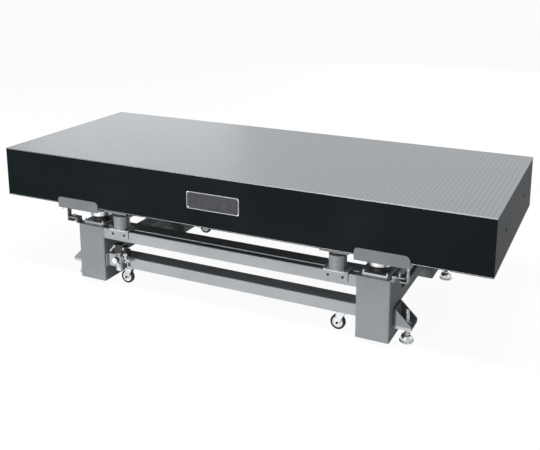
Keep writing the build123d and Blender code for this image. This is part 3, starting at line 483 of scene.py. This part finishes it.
screw_spots = [(x, BRACKET_FACE, z) for x in BRACKET_SCREWS_X for z in BRACKET_SCREWS_Z]
make_piece("air_bracket_screws", repeated(round_head, screw_spots), zinc)

# Pressure gauge: a pressed case in black enamel with a bright rim ring, screwed to the regulator's front.
# Its printed white dial has ticks over three quarters of a turn and a needle on a hub.
GAUGE_X, GAUGE_Z, GAUGE_FRONT, DIAL_FACE, DIAL_RADIUS = -0.699, 0.194, -0.604, -0.602, 0.0184
TICK_LENGTH, TICK_WIDTH, TICK_REACH, TICK_ANGLES = 0.0030, 0.0007, 0.0150, range(-45, 226, 27)
NEEDLE_LENGTH, NEEDLE_WIDTH, NEEDLE_REACH, NEEDLE_ANGLE = 0.0150, 0.0011, 0.0045, 118
RIM_OUTER, RIM_INNER, RIM_HEIGHT = 0.0210, 0.0186, 0.0006
case_black = mottled("case_black", srgb(26, 27, 29), srgb(38, 39, 41), (120.0, 3.0), 0.0, 0.35)
dial_white = mottled("dial_white", srgb(236, 237, 236), srgb(244, 245, 244), (80.0, 2.0), 0.0, 0.3)
dress(case_black, "pressure_gauge")
dial_centre = (GAUGE_X, DIAL_FACE, GAUGE_Z)
dial = turned([(0, -0.0002), (DIAL_RADIUS, -0.0002), (DIAL_RADIUS, 0.0004), (0, 0.0004)], 48)
make_piece("gauge_dial", repeated(aimed(dial, (0, -1, 0)), dial_centre), dial_white)
tick = repeated(block(TICK_LENGTH, TICK_WIDTH, 0.0003), (TICK_REACH, 0, 0.0005))
needle = repeated(block(NEEDLE_LENGTH, NEEDLE_WIDTH, 0.0004), (NEEDLE_REACH, 0, 0.0009))
hub = repeated(turned([(0, 0), (0.0022, 0), (0.0022, 0.0012), (0, 0.0012)], 20), (0, 0, 0.0002))
marks = merged(spun(tick, np.radians(TICK_ANGLES)), spun(needle, [radians(NEEDLE_ANGLE)]), hub)
make_piece("gauge_marks", repeated(aimed(marks, (0, -1, 0)), dial_centre), case_black)
rim_ring = aimed(turned([(RIM_OUTER, 0), (RIM_OUTER, RIM_HEIGHT), (RIM_INNER, RIM_HEIGHT), (RIM_INNER, 0)],
                        56, ring=True), (0, -1, 0))
make_piece("gauge_rim_ring", repeated(rim_ring, (GAUGE_X, GAUGE_FRONT + 0.0005, GAUGE_Z)), chrome)

# Shut-off tee beside the regulator: a plated body with hexagon ends, a dark plug in its front and a dark
# drain sleeve below. The pilot valve behind it is a black block with a plated angle fitting and a knob.
TEE_X, TEE_Z, TEE_FRONT, TEE_ENDS_X = -0.648, 0.194, -0.5715, (-0.669, -0.6225)
TEE_NUT_FLATS, TEE_NUT_LENGTH, TEE_NUT_BORE = 0.023, 0.010, 0.009
DRAIN_RADIUS, DRAIN_BORE, DRAIN_LOW, DRAIN_HIGH = 0.0074, 0.0050, 0.146, 0.174
PILOT_KNOB, ANGLE_FOOT, ANGLE_WAY = (-0.677, -0.544, 0.250), (-0.7795, -0.5365, 0.2180), (0.65, 0, 0.76)
BANJO_CENTRE = (-0.7445, -0.5320, 0.2555)
dress(chrome, "air_valve")
dress(case_black, "pilot_valve")
end_nut = aimed(hexagon_nut(TEE_NUT_FLATS, TEE_NUT_LENGTH, TEE_NUT_BORE), (1, 0, 0))
make_piece("tee_end_nuts", repeated(end_nut, [(x, AIR_Y, TEE_Z) for x in TEE_ENDS_X]), chrome)
plug = aimed(turned([(0, 0), (0.0058, 0), (0.0058, 0.0030), (0.0050, 0.0038), (0.0024, 0.0038),
                     (0.0024, 0.0020), (0, 0.0020)], 24), (0, -1, 0))
sleeve = turned([(DRAIN_RADIUS, DRAIN_LOW), (DRAIN_RADIUS, DRAIN_HIGH), (DRAIN_BORE, DRAIN_HIGH),
                 (DRAIN_BORE, DRAIN_LOW)], 32, ring=True)
plug_and_sleeve = merged(repeated(plug, (TEE_X, TEE_FRONT, TEE_Z)), repeated(sleeve, (TEE_X, AIR_Y, 0)))
make_piece("tee_plug_and_drain", plug_and_sleeve, dark_steel)
fitting = aimed(turned([
    (0, 0), (0.0052, 0), (0.0060, 0.002), (0.0060, 0.012), (0.0090, 0.012), (0.0090, 0.024),
    (0.0062, 0.024), (0.0062, 0.040), (0.0078, 0.042), (0.0078, 0.050), (0, 0.051),
], 24), ANGLE_WAY)
banjo = aimed(turned([(0, -0.004), (0.0095, -0.004), (0.0095, 0.008), (0.0075, 0.010), (0, 0.010)], 24),
              (0, -1, 0))
angle_fitting = merged(repeated(fitting, ANGLE_FOOT), repeated(banjo, BANJO_CENTRE))
make_piece("pilot_angle_fitting", angle_fitting, chrome)
knob_screw = turned([(0, 0), (0.0055, 0), (0.0050, 0.0012), (0.0030, 0.0020), (0, 0.0022)], 24)
make_piece("pilot_knob_screw", repeated(aimed(knob_screw, (0, -1, 0)), PILOT_KNOB), wheel_pale)

# Air isolators: a plated clamp plate over a dark base, held by four studs with nuts, a rolled rubber
# diaphragm, and a piston whose disc carries the tabletop.
ISOLATOR_X, ISOLATOR_Y = 0.8965, 0.450
BASE_TOP, CLAMP_TOP, STUD_TOP = 0.375, 0.386, 0.400
STUD_X, STUD_Y, STUD_RADIUS, STUD_SUNK, STUD_CHAMFER = 0.063, 0.075, 0.0040, 0.002, 0.001
SMALL_NUT_FLATS, STUD_NUT_HEIGHT, STUD_NUT_BORE = 0.013, 0.0060, 0.0035


def round_corners(x, y, reach_x, reach_y, z):
    """Four places at the given reaches round each of the four corner places (x, y, z)."""
    return [(middle_x + dx * reach_x, middle_y + dy * reach_y, z)
            for middle_x, middle_y, _ in at_corners(x, y, z) for dx, dy in CORNERS.values()]


clamp_two_tone, tree, shader = new_finish("clamp_two_tone", srgb(170, 173, 176), 0.5, 0.4)
height_bands(tree, shader, [(0.0, srgb(34, 35, 37)), (BASE_TOP - 0.0001, srgb(172, 175, 178))])
relief(tree, shader, object_noise(tree, 300.0, 3.0), 0.1, 0.0002)
diaphragm_rubber = mottled("diaphragm_rubber", srgb(17, 17, 19), srgb(30, 30, 32), (200.0,), 0.0, 0.55, 0.3)
disc_plate = mottled("disc_plate", srgb(186, 189, 192), srgb(222, 225, 227), (20.0, 3.0, (1, 1, 60)),
                     1.0, 0.3)
dress(clamp_two_tone, "isolator_clamps")
dress(diaphragm_rubber, "isolator_diaphragms")
dress(disc_plate, "isolator_pistons")
stud_high = STUD_TOP - CLAMP_TOP
stud = turned([(0, -STUD_SUNK), (STUD_RADIUS, -STUD_SUNK), (STUD_RADIUS, stud_high - STUD_CHAMFER),
               (STUD_RADIUS - STUD_CHAMFER, stud_high), (0, stud_high)], 20)
stud_and_nut = merged(stud, hexagon_nut(SMALL_NUT_FLATS, STUD_NUT_HEIGHT, STUD_NUT_BORE))
stud_spots = round_corners(ISOLATOR_X, ISOLATOR_Y, STUD_X, STUD_Y, CLAMP_TOP)
make_piece("clamp_studs", repeated(stud_and_nut, stud_spots), zinc)

# Stop tongues on the legs: steel bar, welded on, with the set screws that limit how far the tabletop rises.
# Each screw has a nut above and below the tongue. The lift hooks are of the same half-bright steel.
STOP_X, STOP_Y, TONGUE_LOW, TONGUE_HIGH = 1.030, 0.541, 0.398, 0.406
STOP_NUT_HEIGHT, STOP_NUT_BORE, STOP_SCREW_TOP = 0.0065, 0.0038, 0.4180
hook_steel = mottled("hook_steel", srgb(96, 100, 104), srgb(140, 144, 148), (40.0,), 0.6, 0.4)
dress(hook_steel, "stop_tongues")
stop_nut = hexagon_nut(SMALL_NUT_FLATS, STOP_NUT_HEIGHT, STOP_NUT_BORE)
screw_cap = turned([(0, 0), (0.0046, 0), (0.0046, 0.0015), (0.0030, 0.0030), (0, 0.0034)], 20)
stop_nut_spots = [spot for z in (TONGUE_HIGH, TONGUE_LOW - STOP_NUT_HEIGHT)
                  for spot in at_corners(STOP_X, STOP_Y, z)]
caps = repeated(screw_cap, at_corners(STOP_X, STOP_Y, STOP_SCREW_TOP))
make_piece("stop_screw_nuts", merged(repeated(stop_nut, stop_nut_spots), caps), zinc)

# Support posts: cylinders of steel, turned and painted grey, on bolted brackets, which the tabletop sets
# down on when the air is off. A black rubber pad with a skirt and a pale wear disc tops each one.
POST_X, POST_Y, POST_LOW, POST_HIGH, POST_RADIUS = 0.690, 0.525, 0.382, 0.471, 0.048
PAD_BLACK_TOP, POST_PLATE_LOW, SKIRT_LOW = 0.4805, 0.3735, 0.461
SKIRT_HIGH, SKIRT_OUTER, SKIRT_INNER = POST_HIGH + 0.0005, POST_RADIUS + 0.0005, POST_RADIUS - 0.003
FLANGE_FACE, FLANGE_BOLT_X, FLANGE_BOLT_Z, BASE_SCREW_X, BASE_SCREW_Y = 0.563, 0.041, 0.348, 0.044, 0.035
FLANGE_BOLT_FLATS, FLANGE_BOLT_HEIGHT, FLANGE_BOLT_WASHER = 0.010, 0.0055, 0.0072
turned_grey, tree, shader = new_finish("turned_grey", srgb(136, 141, 144), 0.1, 0.5, 0.1)
lathe = object_noise(tree, 9.0, 5.0, (0.5, 0.5, 60.0))
tint(tree, shader, lathe, srgb(124, 129, 132), srgb(152, 157, 160))
relief(tree, shader, lathe, 0.2, 0.0003)
pad_two_tone, tree, shader = new_finish("pad_two_tone", srgb(26, 26, 28), 0.0, 0.5)
height_bands(tree, shader, [(0.0, srgb(20, 20, 22)), (PAD_BLACK_TOP, srgb(170, 173, 176))])
# The bracket is coloured paler from the base plate's lower face up: a painted highlight on the lit base
# plate.
bracket_grey_lit_base, tree, shader = new_finish("bracket_grey_lit_base", srgb(166, 171, 174), 0.0, 0.5, PAINT_SPECULAR)
height_bands(tree, shader, [(0.0, srgb(166, 171, 174)), (POST_PLATE_LOW, srgb(204, 208, 210))])
dress(bracket_grey_lit_base, "post_brackets")
dress(turned_grey, "support_posts")
dress(pad_two_tone, "post_pads")
skirt = turned([(SKIRT_OUTER, SKIRT_LOW), (SKIRT_OUTER, SKIRT_HIGH), (SKIRT_INNER, SKIRT_HIGH),
                (SKIRT_INNER, SKIRT_LOW)], 56, ring=True)
make_piece("post_pad_skirts", repeated(skirt, at_corners(POST_X, POST_Y, 0)), tyre_black)
flange_bolt = hexagon_head(FLANGE_BOLT_FLATS, FLANGE_BOLT_HEIGHT, FLANGE_BOLT_WASHER)
flange_bolts = [
    repeated(aimed(flange_bolt, (0, sy, 0)),
             [(sx * POST_X + dx * FLANGE_BOLT_X, sy * FLANGE_FACE, FLANGE_BOLT_Z) for dx in (-1, 1)])
    for sx, sy in CORNERS.values()
]
make_piece("post_flange_bolts", merged(*flange_bolts), dark_steel)
socket_screw = turned([(0, 0), (0.0045, 0), (0.0045, 0.0046), (0.0040, 0.0050), (0.0022, 0.0050),
                       (0.0020, 0.0022), (0, 0.0022)], 16)
base_spots = round_corners(POST_X, POST_Y, BASE_SCREW_X, BASE_SCREW_Y, POST_LOW)
make_piece("post_base_screws", repeated(socket_screw, base_spots), zinc)

# Bearing plates, locating brackets and lift hooks under the tabletop: flat steel painted grey, and bent
# strip left half bright. Socket screws hold them up, and the brackets' lips keep the tabletop from sliding.
BRACKET_BOTTOM, BRACKET_SCREWS = 0.488, ((0.818, 0.592), (0.975, 0.592), (0.818, 0.364), (0.975, 0.364))
END_BOLTS, END_BOLT_FLATS, END_BOLT_HEIGHT = ((1.084, 0.585), (1.084, 0.366)), 0.019, 0.0120
END_BOLT_WASHER, END_SHANK_RADIUS, END_SHANK_TOP = 0.0130, 0.006, 0.030
bearing_grey = powder_coat("bearing_grey", srgb(132, 136, 139), srgb(144, 148, 151))
dress(bearing_grey, "bearing_plates")
lip_grey = powder_coat("lip_grey", srgb(116, 121, 124), srgb(128, 133, 136))
dress(lip_grey, *(f"locating_bracket_{corner}" for corner in CORNERS))
dress(hook_steel, "lift_hooks")
tall_screw = aimed(turned([(0, 0), (0.0065, 0), (0.0065, 0.0125), (0.0058, 0.0135), (0.0034, 0.0135),
                           (0.0032, 0.0070), (0, 0.0070)], 20), (0, 0, -1))
screw_spots = [spot for x, y in BRACKET_SCREWS for spot in at_corners(x, y, BRACKET_BOTTOM)]
make_piece("bracket_screws", repeated(tall_screw, screw_spots), dark_steel)
end_bolt = aimed(merged(hexagon_head(END_BOLT_FLATS, END_BOLT_HEIGHT, END_BOLT_WASHER),
                        turned([(0, END_BOLT_HEIGHT), (END_SHANK_RADIUS, END_BOLT_HEIGHT),
                                (END_SHANK_RADIUS, END_SHANK_TOP - 0.002), (0, END_SHANK_TOP)], 20)),
                 (0, 0, -1))
end_spots = [spot for x, y in END_BOLTS for spot in at_corners(x, y, BRACKET_BOTTOM)]
make_piece("bracket_end_bolts", repeated(end_bolt, end_spots), zinc)

# Side panels and bottom skin: damped panels in black paint round the honeycomb core, and a steel sheet below
# whose underside is coloured black as painted shade under the tabletop. The end panels have two holes each
# for lifting eyes, lined with flanged and threaded bushes.
UNDERSIDE, SHADE_BAND_MARGIN = 0.5, 0.0004
LIFT_HOLE_Y, LIFT_HOLE_Z, PANEL_FACE_X = 0.305, 0.648, 1.4985
BUSH_DEPTH, BUSH_RADIUS, BUSH_BORE, BUSH_FLANGE, BUSH_FLANGE_THICK = 0.0115, 0.0051, 0.0042, 0.0105, 0.0011


def panel_paint(name, dark, light, roughness, specular):
    """Black textured paint: two close tones in wide clouds and a fine relief."""
    material, tree, shader = new_finish(name, light, 0.0, roughness, specular)
    tint(tree, shader, object_noise(tree, 2.2, 2.0), dark, light)
    relief(tree, shader, object_noise(tree, 700.0, 3.0), 0.25, 0.0002)
    return material


# The skin is coloured near black up to just above its underside: painted shade under the tabletop.
skin_steel, tree, shader = new_finish("skin_steel", srgb(118, 121, 124), 1.0, 0.42)
height_bands(tree, shader, [(0.0, srgb(34, 36, 38)), (UNDERSIDE + SHADE_BAND_MARGIN, srgb(190, 193, 196))])
relief(tree, shader, object_noise(tree, 5.0, 5.0, (2.0, 90.0, 4.0)), 0.15, 0.0003)
dress(skin_steel, "bottom_plate")
panel_black = panel_paint("panel_black", srgb(21, 26, 29), srgb(27, 32, 35), 0.6, 0.01)
dress(panel_black, "front_side_panel", "rear_side_panel")
# The end panels' black is lighter than the side panels': painted light on the faces lit from the side.
end_black_painted_light = panel_paint("end_black_painted_light", srgb(46, 51, 54), srgb(54, 59, 62), 0.5, 0.04)
dress(end_black_painted_light, "left_end_panel", "right_end_panel")
bush_black = mottled("bush_black", srgb(9, 10, 11), srgb(16, 17, 18), (300.0,), 0.0, 0.7, 0.01)
bush = turned([
    (BUSH_RADIUS, -BUSH_DEPTH), (BUSH_RADIUS, 0.0), (BUSH_FLANGE, 0.0), (BUSH_FLANGE, BUSH_FLANGE_THICK),
    (BUSH_BORE, BUSH_FLANGE_THICK), (BUSH_BORE, -BUSH_DEPTH),
], 32, ring=True)
bushes = [
    repeated(aimed(bush, (side, 0, 0)),
             [(side * PANEL_FACE_X, y, LIFT_HOLE_Z) for y in (-LIFT_HOLE_Y, LIFT_HOLE_Y)])
    for side in (-1, 1)
]
make_piece("lifting_hole_threads", merged(*bushes), bush_black)

# Nameplate: a satin aluminium plate with a raised rim, pressed from sheet and held by four rivets. The
# field inside the rim is enamelled dark.
PLATE_X, PLATE_Z, PLATE_FRONT, PLATE_LENGTH, PLATE_HEIGHT = -0.021, 0.652, -0.6005, 0.330, 0.100
FIELD_LENGTH, FIELD_HEIGHT, FIELD_CORNER, FIELD_THICK, RIVET_INSET = 0.321, 0.091, 0.013, 0.0007, 0.0065
satin_aluminium, tree, shader = new_finish("satin_aluminium", srgb(132, 134, 137), 0.8, 0.4)
brush = object_noise(tree, 6.0, 5.0, (4.0, 4.0, 260.0))
tint(tree, shader, brush, srgb(122, 124, 127), srgb(152, 154, 156))
relief(tree, shader, brush, 0.1, 0.0002)
dress(satin_aluminium, "nameplate")
field_dark = mottled("field_dark", srgb(58, 58, 62), srgb(74, 74, 78), (30.0, 3.0), 0.1, 0.45, 0.1)


def rounded_slab(length, height, corner, thick):
    """Flat plate in x and z with round corners, its front at y = 0 facing -y: corner arcs of seven points
    each make the outline, which is carried back by the thickness and closed by a fan on each side."""
    arc = np.linspace(0, pi / 2, 7)
    quarters = [(arc + quarter * pi / 2, sx, sz) for quarter, (sx, sz) in
                enumerate(((1, 1), (-1, 1), (-1, -1), (1, -1)))]
    outline = np.concatenate([
        np.column_stack([sx * (length / 2 - corner) + corner * np.cos(angle),
                         sz * (height / 2 - corner) + corner * np.sin(angle)])
        for angle, sx, sz in quarters
    ])
    count = len(outline)
    front = np.column_stack([outline[:, 0], np.zeros(count), outline[:, 1]])
    points = np.concatenate([front, front + (0, thick, 0), [[0, 0, 0], [0, thick, 0]]])
    ring = np.arange(count)
    turn = np.roll(ring, -1)
    walls = np.stack([turn, ring, ring + count, turn + count], -1)
    fans = np.concatenate([
        np.stack([ring, turn, np.full(count, 2 * count)], -1),
        np.stack([turn + count, ring + count, np.full(count, 2 * count + 1)], -1),
    ])
    return points, [walls, fans]


field_shape = rounded_slab(FIELD_LENGTH, FIELD_HEIGHT, FIELD_CORNER, FIELD_THICK)
field = repeated(field_shape, (PLATE_X, PLATE_FRONT - 0.0001, PLATE_Z))
make_piece("nameplate_field", field, field_dark)
rivet = aimed(turned([(0, -0.0005), (0.0032, -0.0005), (0.0030, 0.0004), (0.0018, 0.0008), (0, 0.0009)], 20),
              (0, -1, 0))
rivet_x, rivet_z = PLATE_LENGTH / 2 - RIVET_INSET, PLATE_HEIGHT / 2 - RIVET_INSET
rivet_spots = [(PLATE_X + sx * rivet_x, PLATE_FRONT, PLATE_Z + sz * rivet_z) for sx, sz in CORNERS.values()]
make_piece("nameplate_rivets", repeated(rivet, rivet_spots), chrome)

# Top plate: a ground steel skin with M6 holes tapped through it on a 25 mm grid, closed by cups below.
# It is glued to the honeycomb core, and its edge is broken with a small chamfer all round.
TOP_LENGTH, TOP_WIDTH, TOP_HEIGHT, TOP_THICK, EDGE_BREAK = 3.0, 1.2, 0.8, 0.005, 0.0008
GRID_PITCH, HOLES_ALONG, HOLES_ACROSS = 0.025, 119, 47
HOLE_RADIUS, HOLE_DEPTH = 0.0026, 0.0044


def holed_plate():
    """Square cells side by side, each a square with an eight-sided blind hole in its middle: corner points
    at half a pitch, rim points at the hole's radius every 45 degrees, the same rim points sunk by the depth.
    Loops scaled out from the field's border make the margin, the broken edge, the side and the flat
    underside."""
    columns = (np.arange(HOLES_ALONG) - (HOLES_ALONG - 1) / 2) * GRID_PITCH
    rows = (np.arange(HOLES_ACROSS) - (HOLES_ACROSS - 1) / 2) * GRID_PITCH
    # Shared corner points of the cells, and the rims of the holes at the top and at the bottom
    corner_x = np.append(columns - GRID_PITCH / 2, columns[-1] + GRID_PITCH / 2)
    corner_y = np.append(rows - GRID_PITCH / 2, rows[-1] + GRID_PITCH / 2)
    grid_x, grid_y = np.meshgrid(corner_x, corner_y, indexing="ij")
    corners = np.stack([grid_x, grid_y, np.full_like(grid_x, TOP_HEIGHT)], -1).reshape(-1, 3)
    middle_x, middle_y = (axis.ravel() for axis in np.meshgrid(columns, rows, indexing="ij"))
    angle = np.arange(8) * pi / 4
    rim = np.stack([
        middle_x[:, None] + HOLE_RADIUS * np.cos(angle),
        middle_y[:, None] + HOLE_RADIUS * np.sin(angle),
        np.full((len(middle_x), 8), TOP_HEIGHT),
    ], -1)
    floor = rim - (0, 0, HOLE_DEPTH)
    count = len(middle_x)
    first_rim = len(corners)
    first_floor = first_rim + 8 * count
    column, row = (axis.ravel() for axis in np.meshgrid(
        np.arange(HOLES_ALONG), np.arange(HOLES_ACROSS), indexing="ij"))
    stride = HOLES_ACROSS + 1
    # Corners of each cell at 225, 315, 45 and 135 degrees
    cell = np.stack([
        column * stride + row, (column + 1) * stride + row,
        (column + 1) * stride + row + 1, column * stride + row + 1,
    ], -1)
    rims = first_rim + np.arange(count)[:, None] * 8 + np.arange(8)
    floors = rims + 8 * count
    around = []
    for side in range(4):
        # The side between two corners meets three rim points; side 0 faces -y
        start = (5 + 2 * side) % 8
        around.append(np.stack([
            cell[:, side], cell[:, (side + 1) % 4],
            rims[:, (start + 2) % 8], rims[:, (start + 1) % 8], rims[:, start],
        ], -1))
    around = np.concatenate(around)
    following = np.roll(np.arange(8), -1)
    walls = np.stack([rims, rims[:, following], floors[:, following], floors], -1).reshape(-1, 4)
    # Border of the field, one point a cell, counter-clockwise from the low corner
    border = np.concatenate([
        np.arange(HOLES_ALONG) * stride, HOLES_ALONG * stride + np.arange(HOLES_ACROSS),
        np.arange(HOLES_ALONG, 0, -1) * stride + HOLES_ACROSS, np.arange(HOLES_ACROSS, 0, -1),
    ])
    size = len(border)
    outline = corners[border, :2] / np.abs(corners[border, :2]).max(0)
    half = np.array([TOP_LENGTH / 2, TOP_WIDTH / 2])
    bottom = TOP_HEIGHT - TOP_THICK
    reaches = ((half - EDGE_BREAK, TOP_HEIGHT), (half, TOP_HEIGHT - EDGE_BREAK), (half, bottom))
    loops = [np.column_stack([outline * reach, np.full(size, height)]) for reach, height in reaches]
    first_loop = first_floor + 8 * count
    rings = [border] + [first_loop + index * size + np.arange(size) for index in range(3)]
    strips = np.concatenate([
        np.stack([outer, np.roll(outer, -1), np.roll(inner, -1), inner], -1)
        for inner, outer in zip(rings[:-1], rings[1:])
    ])
    points = np.concatenate([corners, rim.reshape(-1, 3), floor.reshape(-1, 3), *loops, [[0, 0, bottom]]])
    last = rings[-1]
    under = np.stack([np.roll(last, -1), last, np.full(size, len(points) - 1)], -1)
    return points, [around, strips[:size], strips[size:], under, walls, floors]


ground_steel, tree, shader = new_finish("ground_steel", srgb(146, 151, 154), 1.0, 0.36)
grain = object_noise(tree, 6.0, 6.0, (3.0, 220.0, 20.0))
tint(tree, shader, grain, srgb(136, 141, 144), srgb(158, 163, 166))
gloss_range(tree, shader, grain, 0.30, 0.42)
relief(tree, shader, grain, 0.12, 0.0004)
hole_shade = mottled("hole_shade", srgb(26, 28, 30), srgb(46, 48, 50), (900.0,), 0.6, 0.6)
edge_steel = mottled("edge_steel", srgb(104, 108, 111), srgb(122, 126, 129), (8.0, 4.0, (6.0, 6.0, 120.0)),
                     1.0, 0.45)
top = make_piece("top_plate_with_holes", holed_plate(), [ground_steel, hole_shade, edge_steel],
                 slots=(0, 0, 2, 0, 1, 1))
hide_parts("top_plate")


# Studio: pale floor, one soft lamp above, others round the table, and a white background for what the
# camera and gloss see. The floor is flat grey that glows where it is seen, so the table's shadow stays on it.
WORLD_COLOUR, WORLD_STRENGTH = (0.9, 0.92, 0.95, 1), 0.028
FLOOR_HALF, FLOOR_GREY, FLOOR_GLOW, FLOOR_GLOW_SHARE = 60.0, 0.35, 1.26, 0.75


def lamp(name, place, aim, width, height, power):
    """Soft rectangular lamp at `place` that faces `aim`."""
    light = bpy.data.lights.new(name, "AREA")
    light.shape = "RECTANGLE"
    light.size, light.size_y, light.energy = width, height, power
    holder = bpy.data.objects.new(name, light)
    holder.location = place
    holder.rotation_euler = (Vector(aim) - Vector(place)).to_track_quat("-Z", "Y").to_euler()
    bpy.context.scene.collection.objects.link(holder)


lamp("lamp_above", (0.3, -1.6, 5.6), (0.3, -1.4, 0.8), 3.5, 1.6, 260)
lamp("lamp_front", (-1.7, -9.0, 0.45), (0, 0, 0.4), 1.8, 0.6, 630)
lamp("lamp_right", (6.0, -0.45, 0.40), (0.9, -0.45, 0.3), 0.8, 0.5, 22)
lamp("lamp_back", (-4.4, 4.8, 2.1), (-1.0, 0.2, 0.8), 3.0, 1.8, 11)
lamp("lamp_rear", (0.6, 9.0, 0.45), (0, 0, 0.4), 3.0, 0.6, 520)
lamp("lamp_left", (-7.0, 0.5, 0.45), (-0.9, 0.4, 0.4), 1.6, 0.6, 150)


def seen_white(tree, strength):
    """1 where the ray comes from the camera or through gloss or glass, else 0; scaled by `strength`."""
    path = tree.nodes.new("ShaderNodeLightPath")
    first = tree.nodes.new("ShaderNodeMath")
    second = tree.nodes.new("ShaderNodeMath")
    level = tree.nodes.new("ShaderNodeMath")
    first.operation = second.operation = "MAXIMUM"
    level.operation = "MULTIPLY"
    level.inputs[1].default_value = strength
    tree.links.new(path.outputs["Is Camera Ray"], first.inputs[0])
    tree.links.new(path.outputs["Is Glossy Ray"], first.inputs[1])
    tree.links.new(first.outputs[0], second.inputs[0])
    tree.links.new(path.outputs["Is Transmission Ray"], second.inputs[1])
    tree.links.new(second.outputs[0], level.inputs[0])
    return level.outputs[0]


world = bpy.data.worlds.new("studio")
bpy.context.scene.world = world
world.use_nodes = True
tree = world.node_tree
plain = tree.nodes["Background"]
plain.inputs["Color"].default_value = WORLD_COLOUR
plain.inputs["Strength"].default_value = WORLD_STRENGTH
white = tree.nodes.new("ShaderNodeBackground")
white.inputs["Color"].default_value = (1, 1, 1, 1)
choice = tree.nodes.new("ShaderNodeMixShader")
tree.links.new(seen_white(tree, 1.0), choice.inputs["Fac"])
tree.links.new(plain.outputs[0], choice.inputs[1])
tree.links.new(white.outputs[0], choice.inputs[2])
tree.links.new(choice.outputs[0], tree.nodes["World Output"].inputs["Surface"])

floor_points = np.array([(-1, -1, 0), (1, -1, 0), (1, 1, 0), (-1, 1, 0)]) * FLOOR_HALF
floor_pale, tree, shader = new_finish("floor_pale", (FLOOR_GREY, FLOOR_GREY, FLOOR_GREY), 0.0, 0.9)
glow = tree.nodes.new("ShaderNodeEmission")
glow.inputs["Color"].default_value = (1, 1, 1, 1)
glow.inputs["Strength"].default_value = FLOOR_GLOW
blend = tree.nodes.new("ShaderNodeMixShader")
tree.links.new(seen_white(tree, FLOOR_GLOW_SHARE), blend.inputs["Fac"])
tree.links.new(shader.outputs[0], blend.inputs[1])
tree.links.new(glow.outputs[0], blend.inputs[2])
tree.links.new(blend.outputs[0], tree.nodes["Material Output"].inputs["Surface"])
ground = make_piece("studio_floor", (floor_points, [np.array([[0, 1, 2, 3]])]), floor_pale, body=None)

# Camera: its place, turn and tilt come from the tabletop's corners in the photograph. The lens is shifted
# less than the photograph's, because other views of the table are taken with it too.
FOCAL_PIXELS, IMAGE_WIDTH, SENSOR, SHIFT = 781.7, 540.0, 36.0, -0.20
CAMERA_PLACE, CAMERA_TILT, CAMERA_TURN = (2.034, -4.145, 2.034), radians(12.378), radians(25.664)
camera_data = bpy.data.cameras.new("camera")
camera_data.sensor_width = SENSOR
camera_data.lens = FOCAL_PIXELS / IMAGE_WIDTH * SENSOR
camera_data.shift_y = SHIFT
camera = bpy.data.objects.new("camera", camera_data)
camera.location = CAMERA_PLACE
camera.rotation_euler = (pi / 2 - CAMERA_TILT, 0, CAMERA_TURN)
bpy.context.scene.collection.objects.link(camera)
bpy.context.scene.camera = camera
bpy.context.scene.view_settings.view_transform = "Standard"
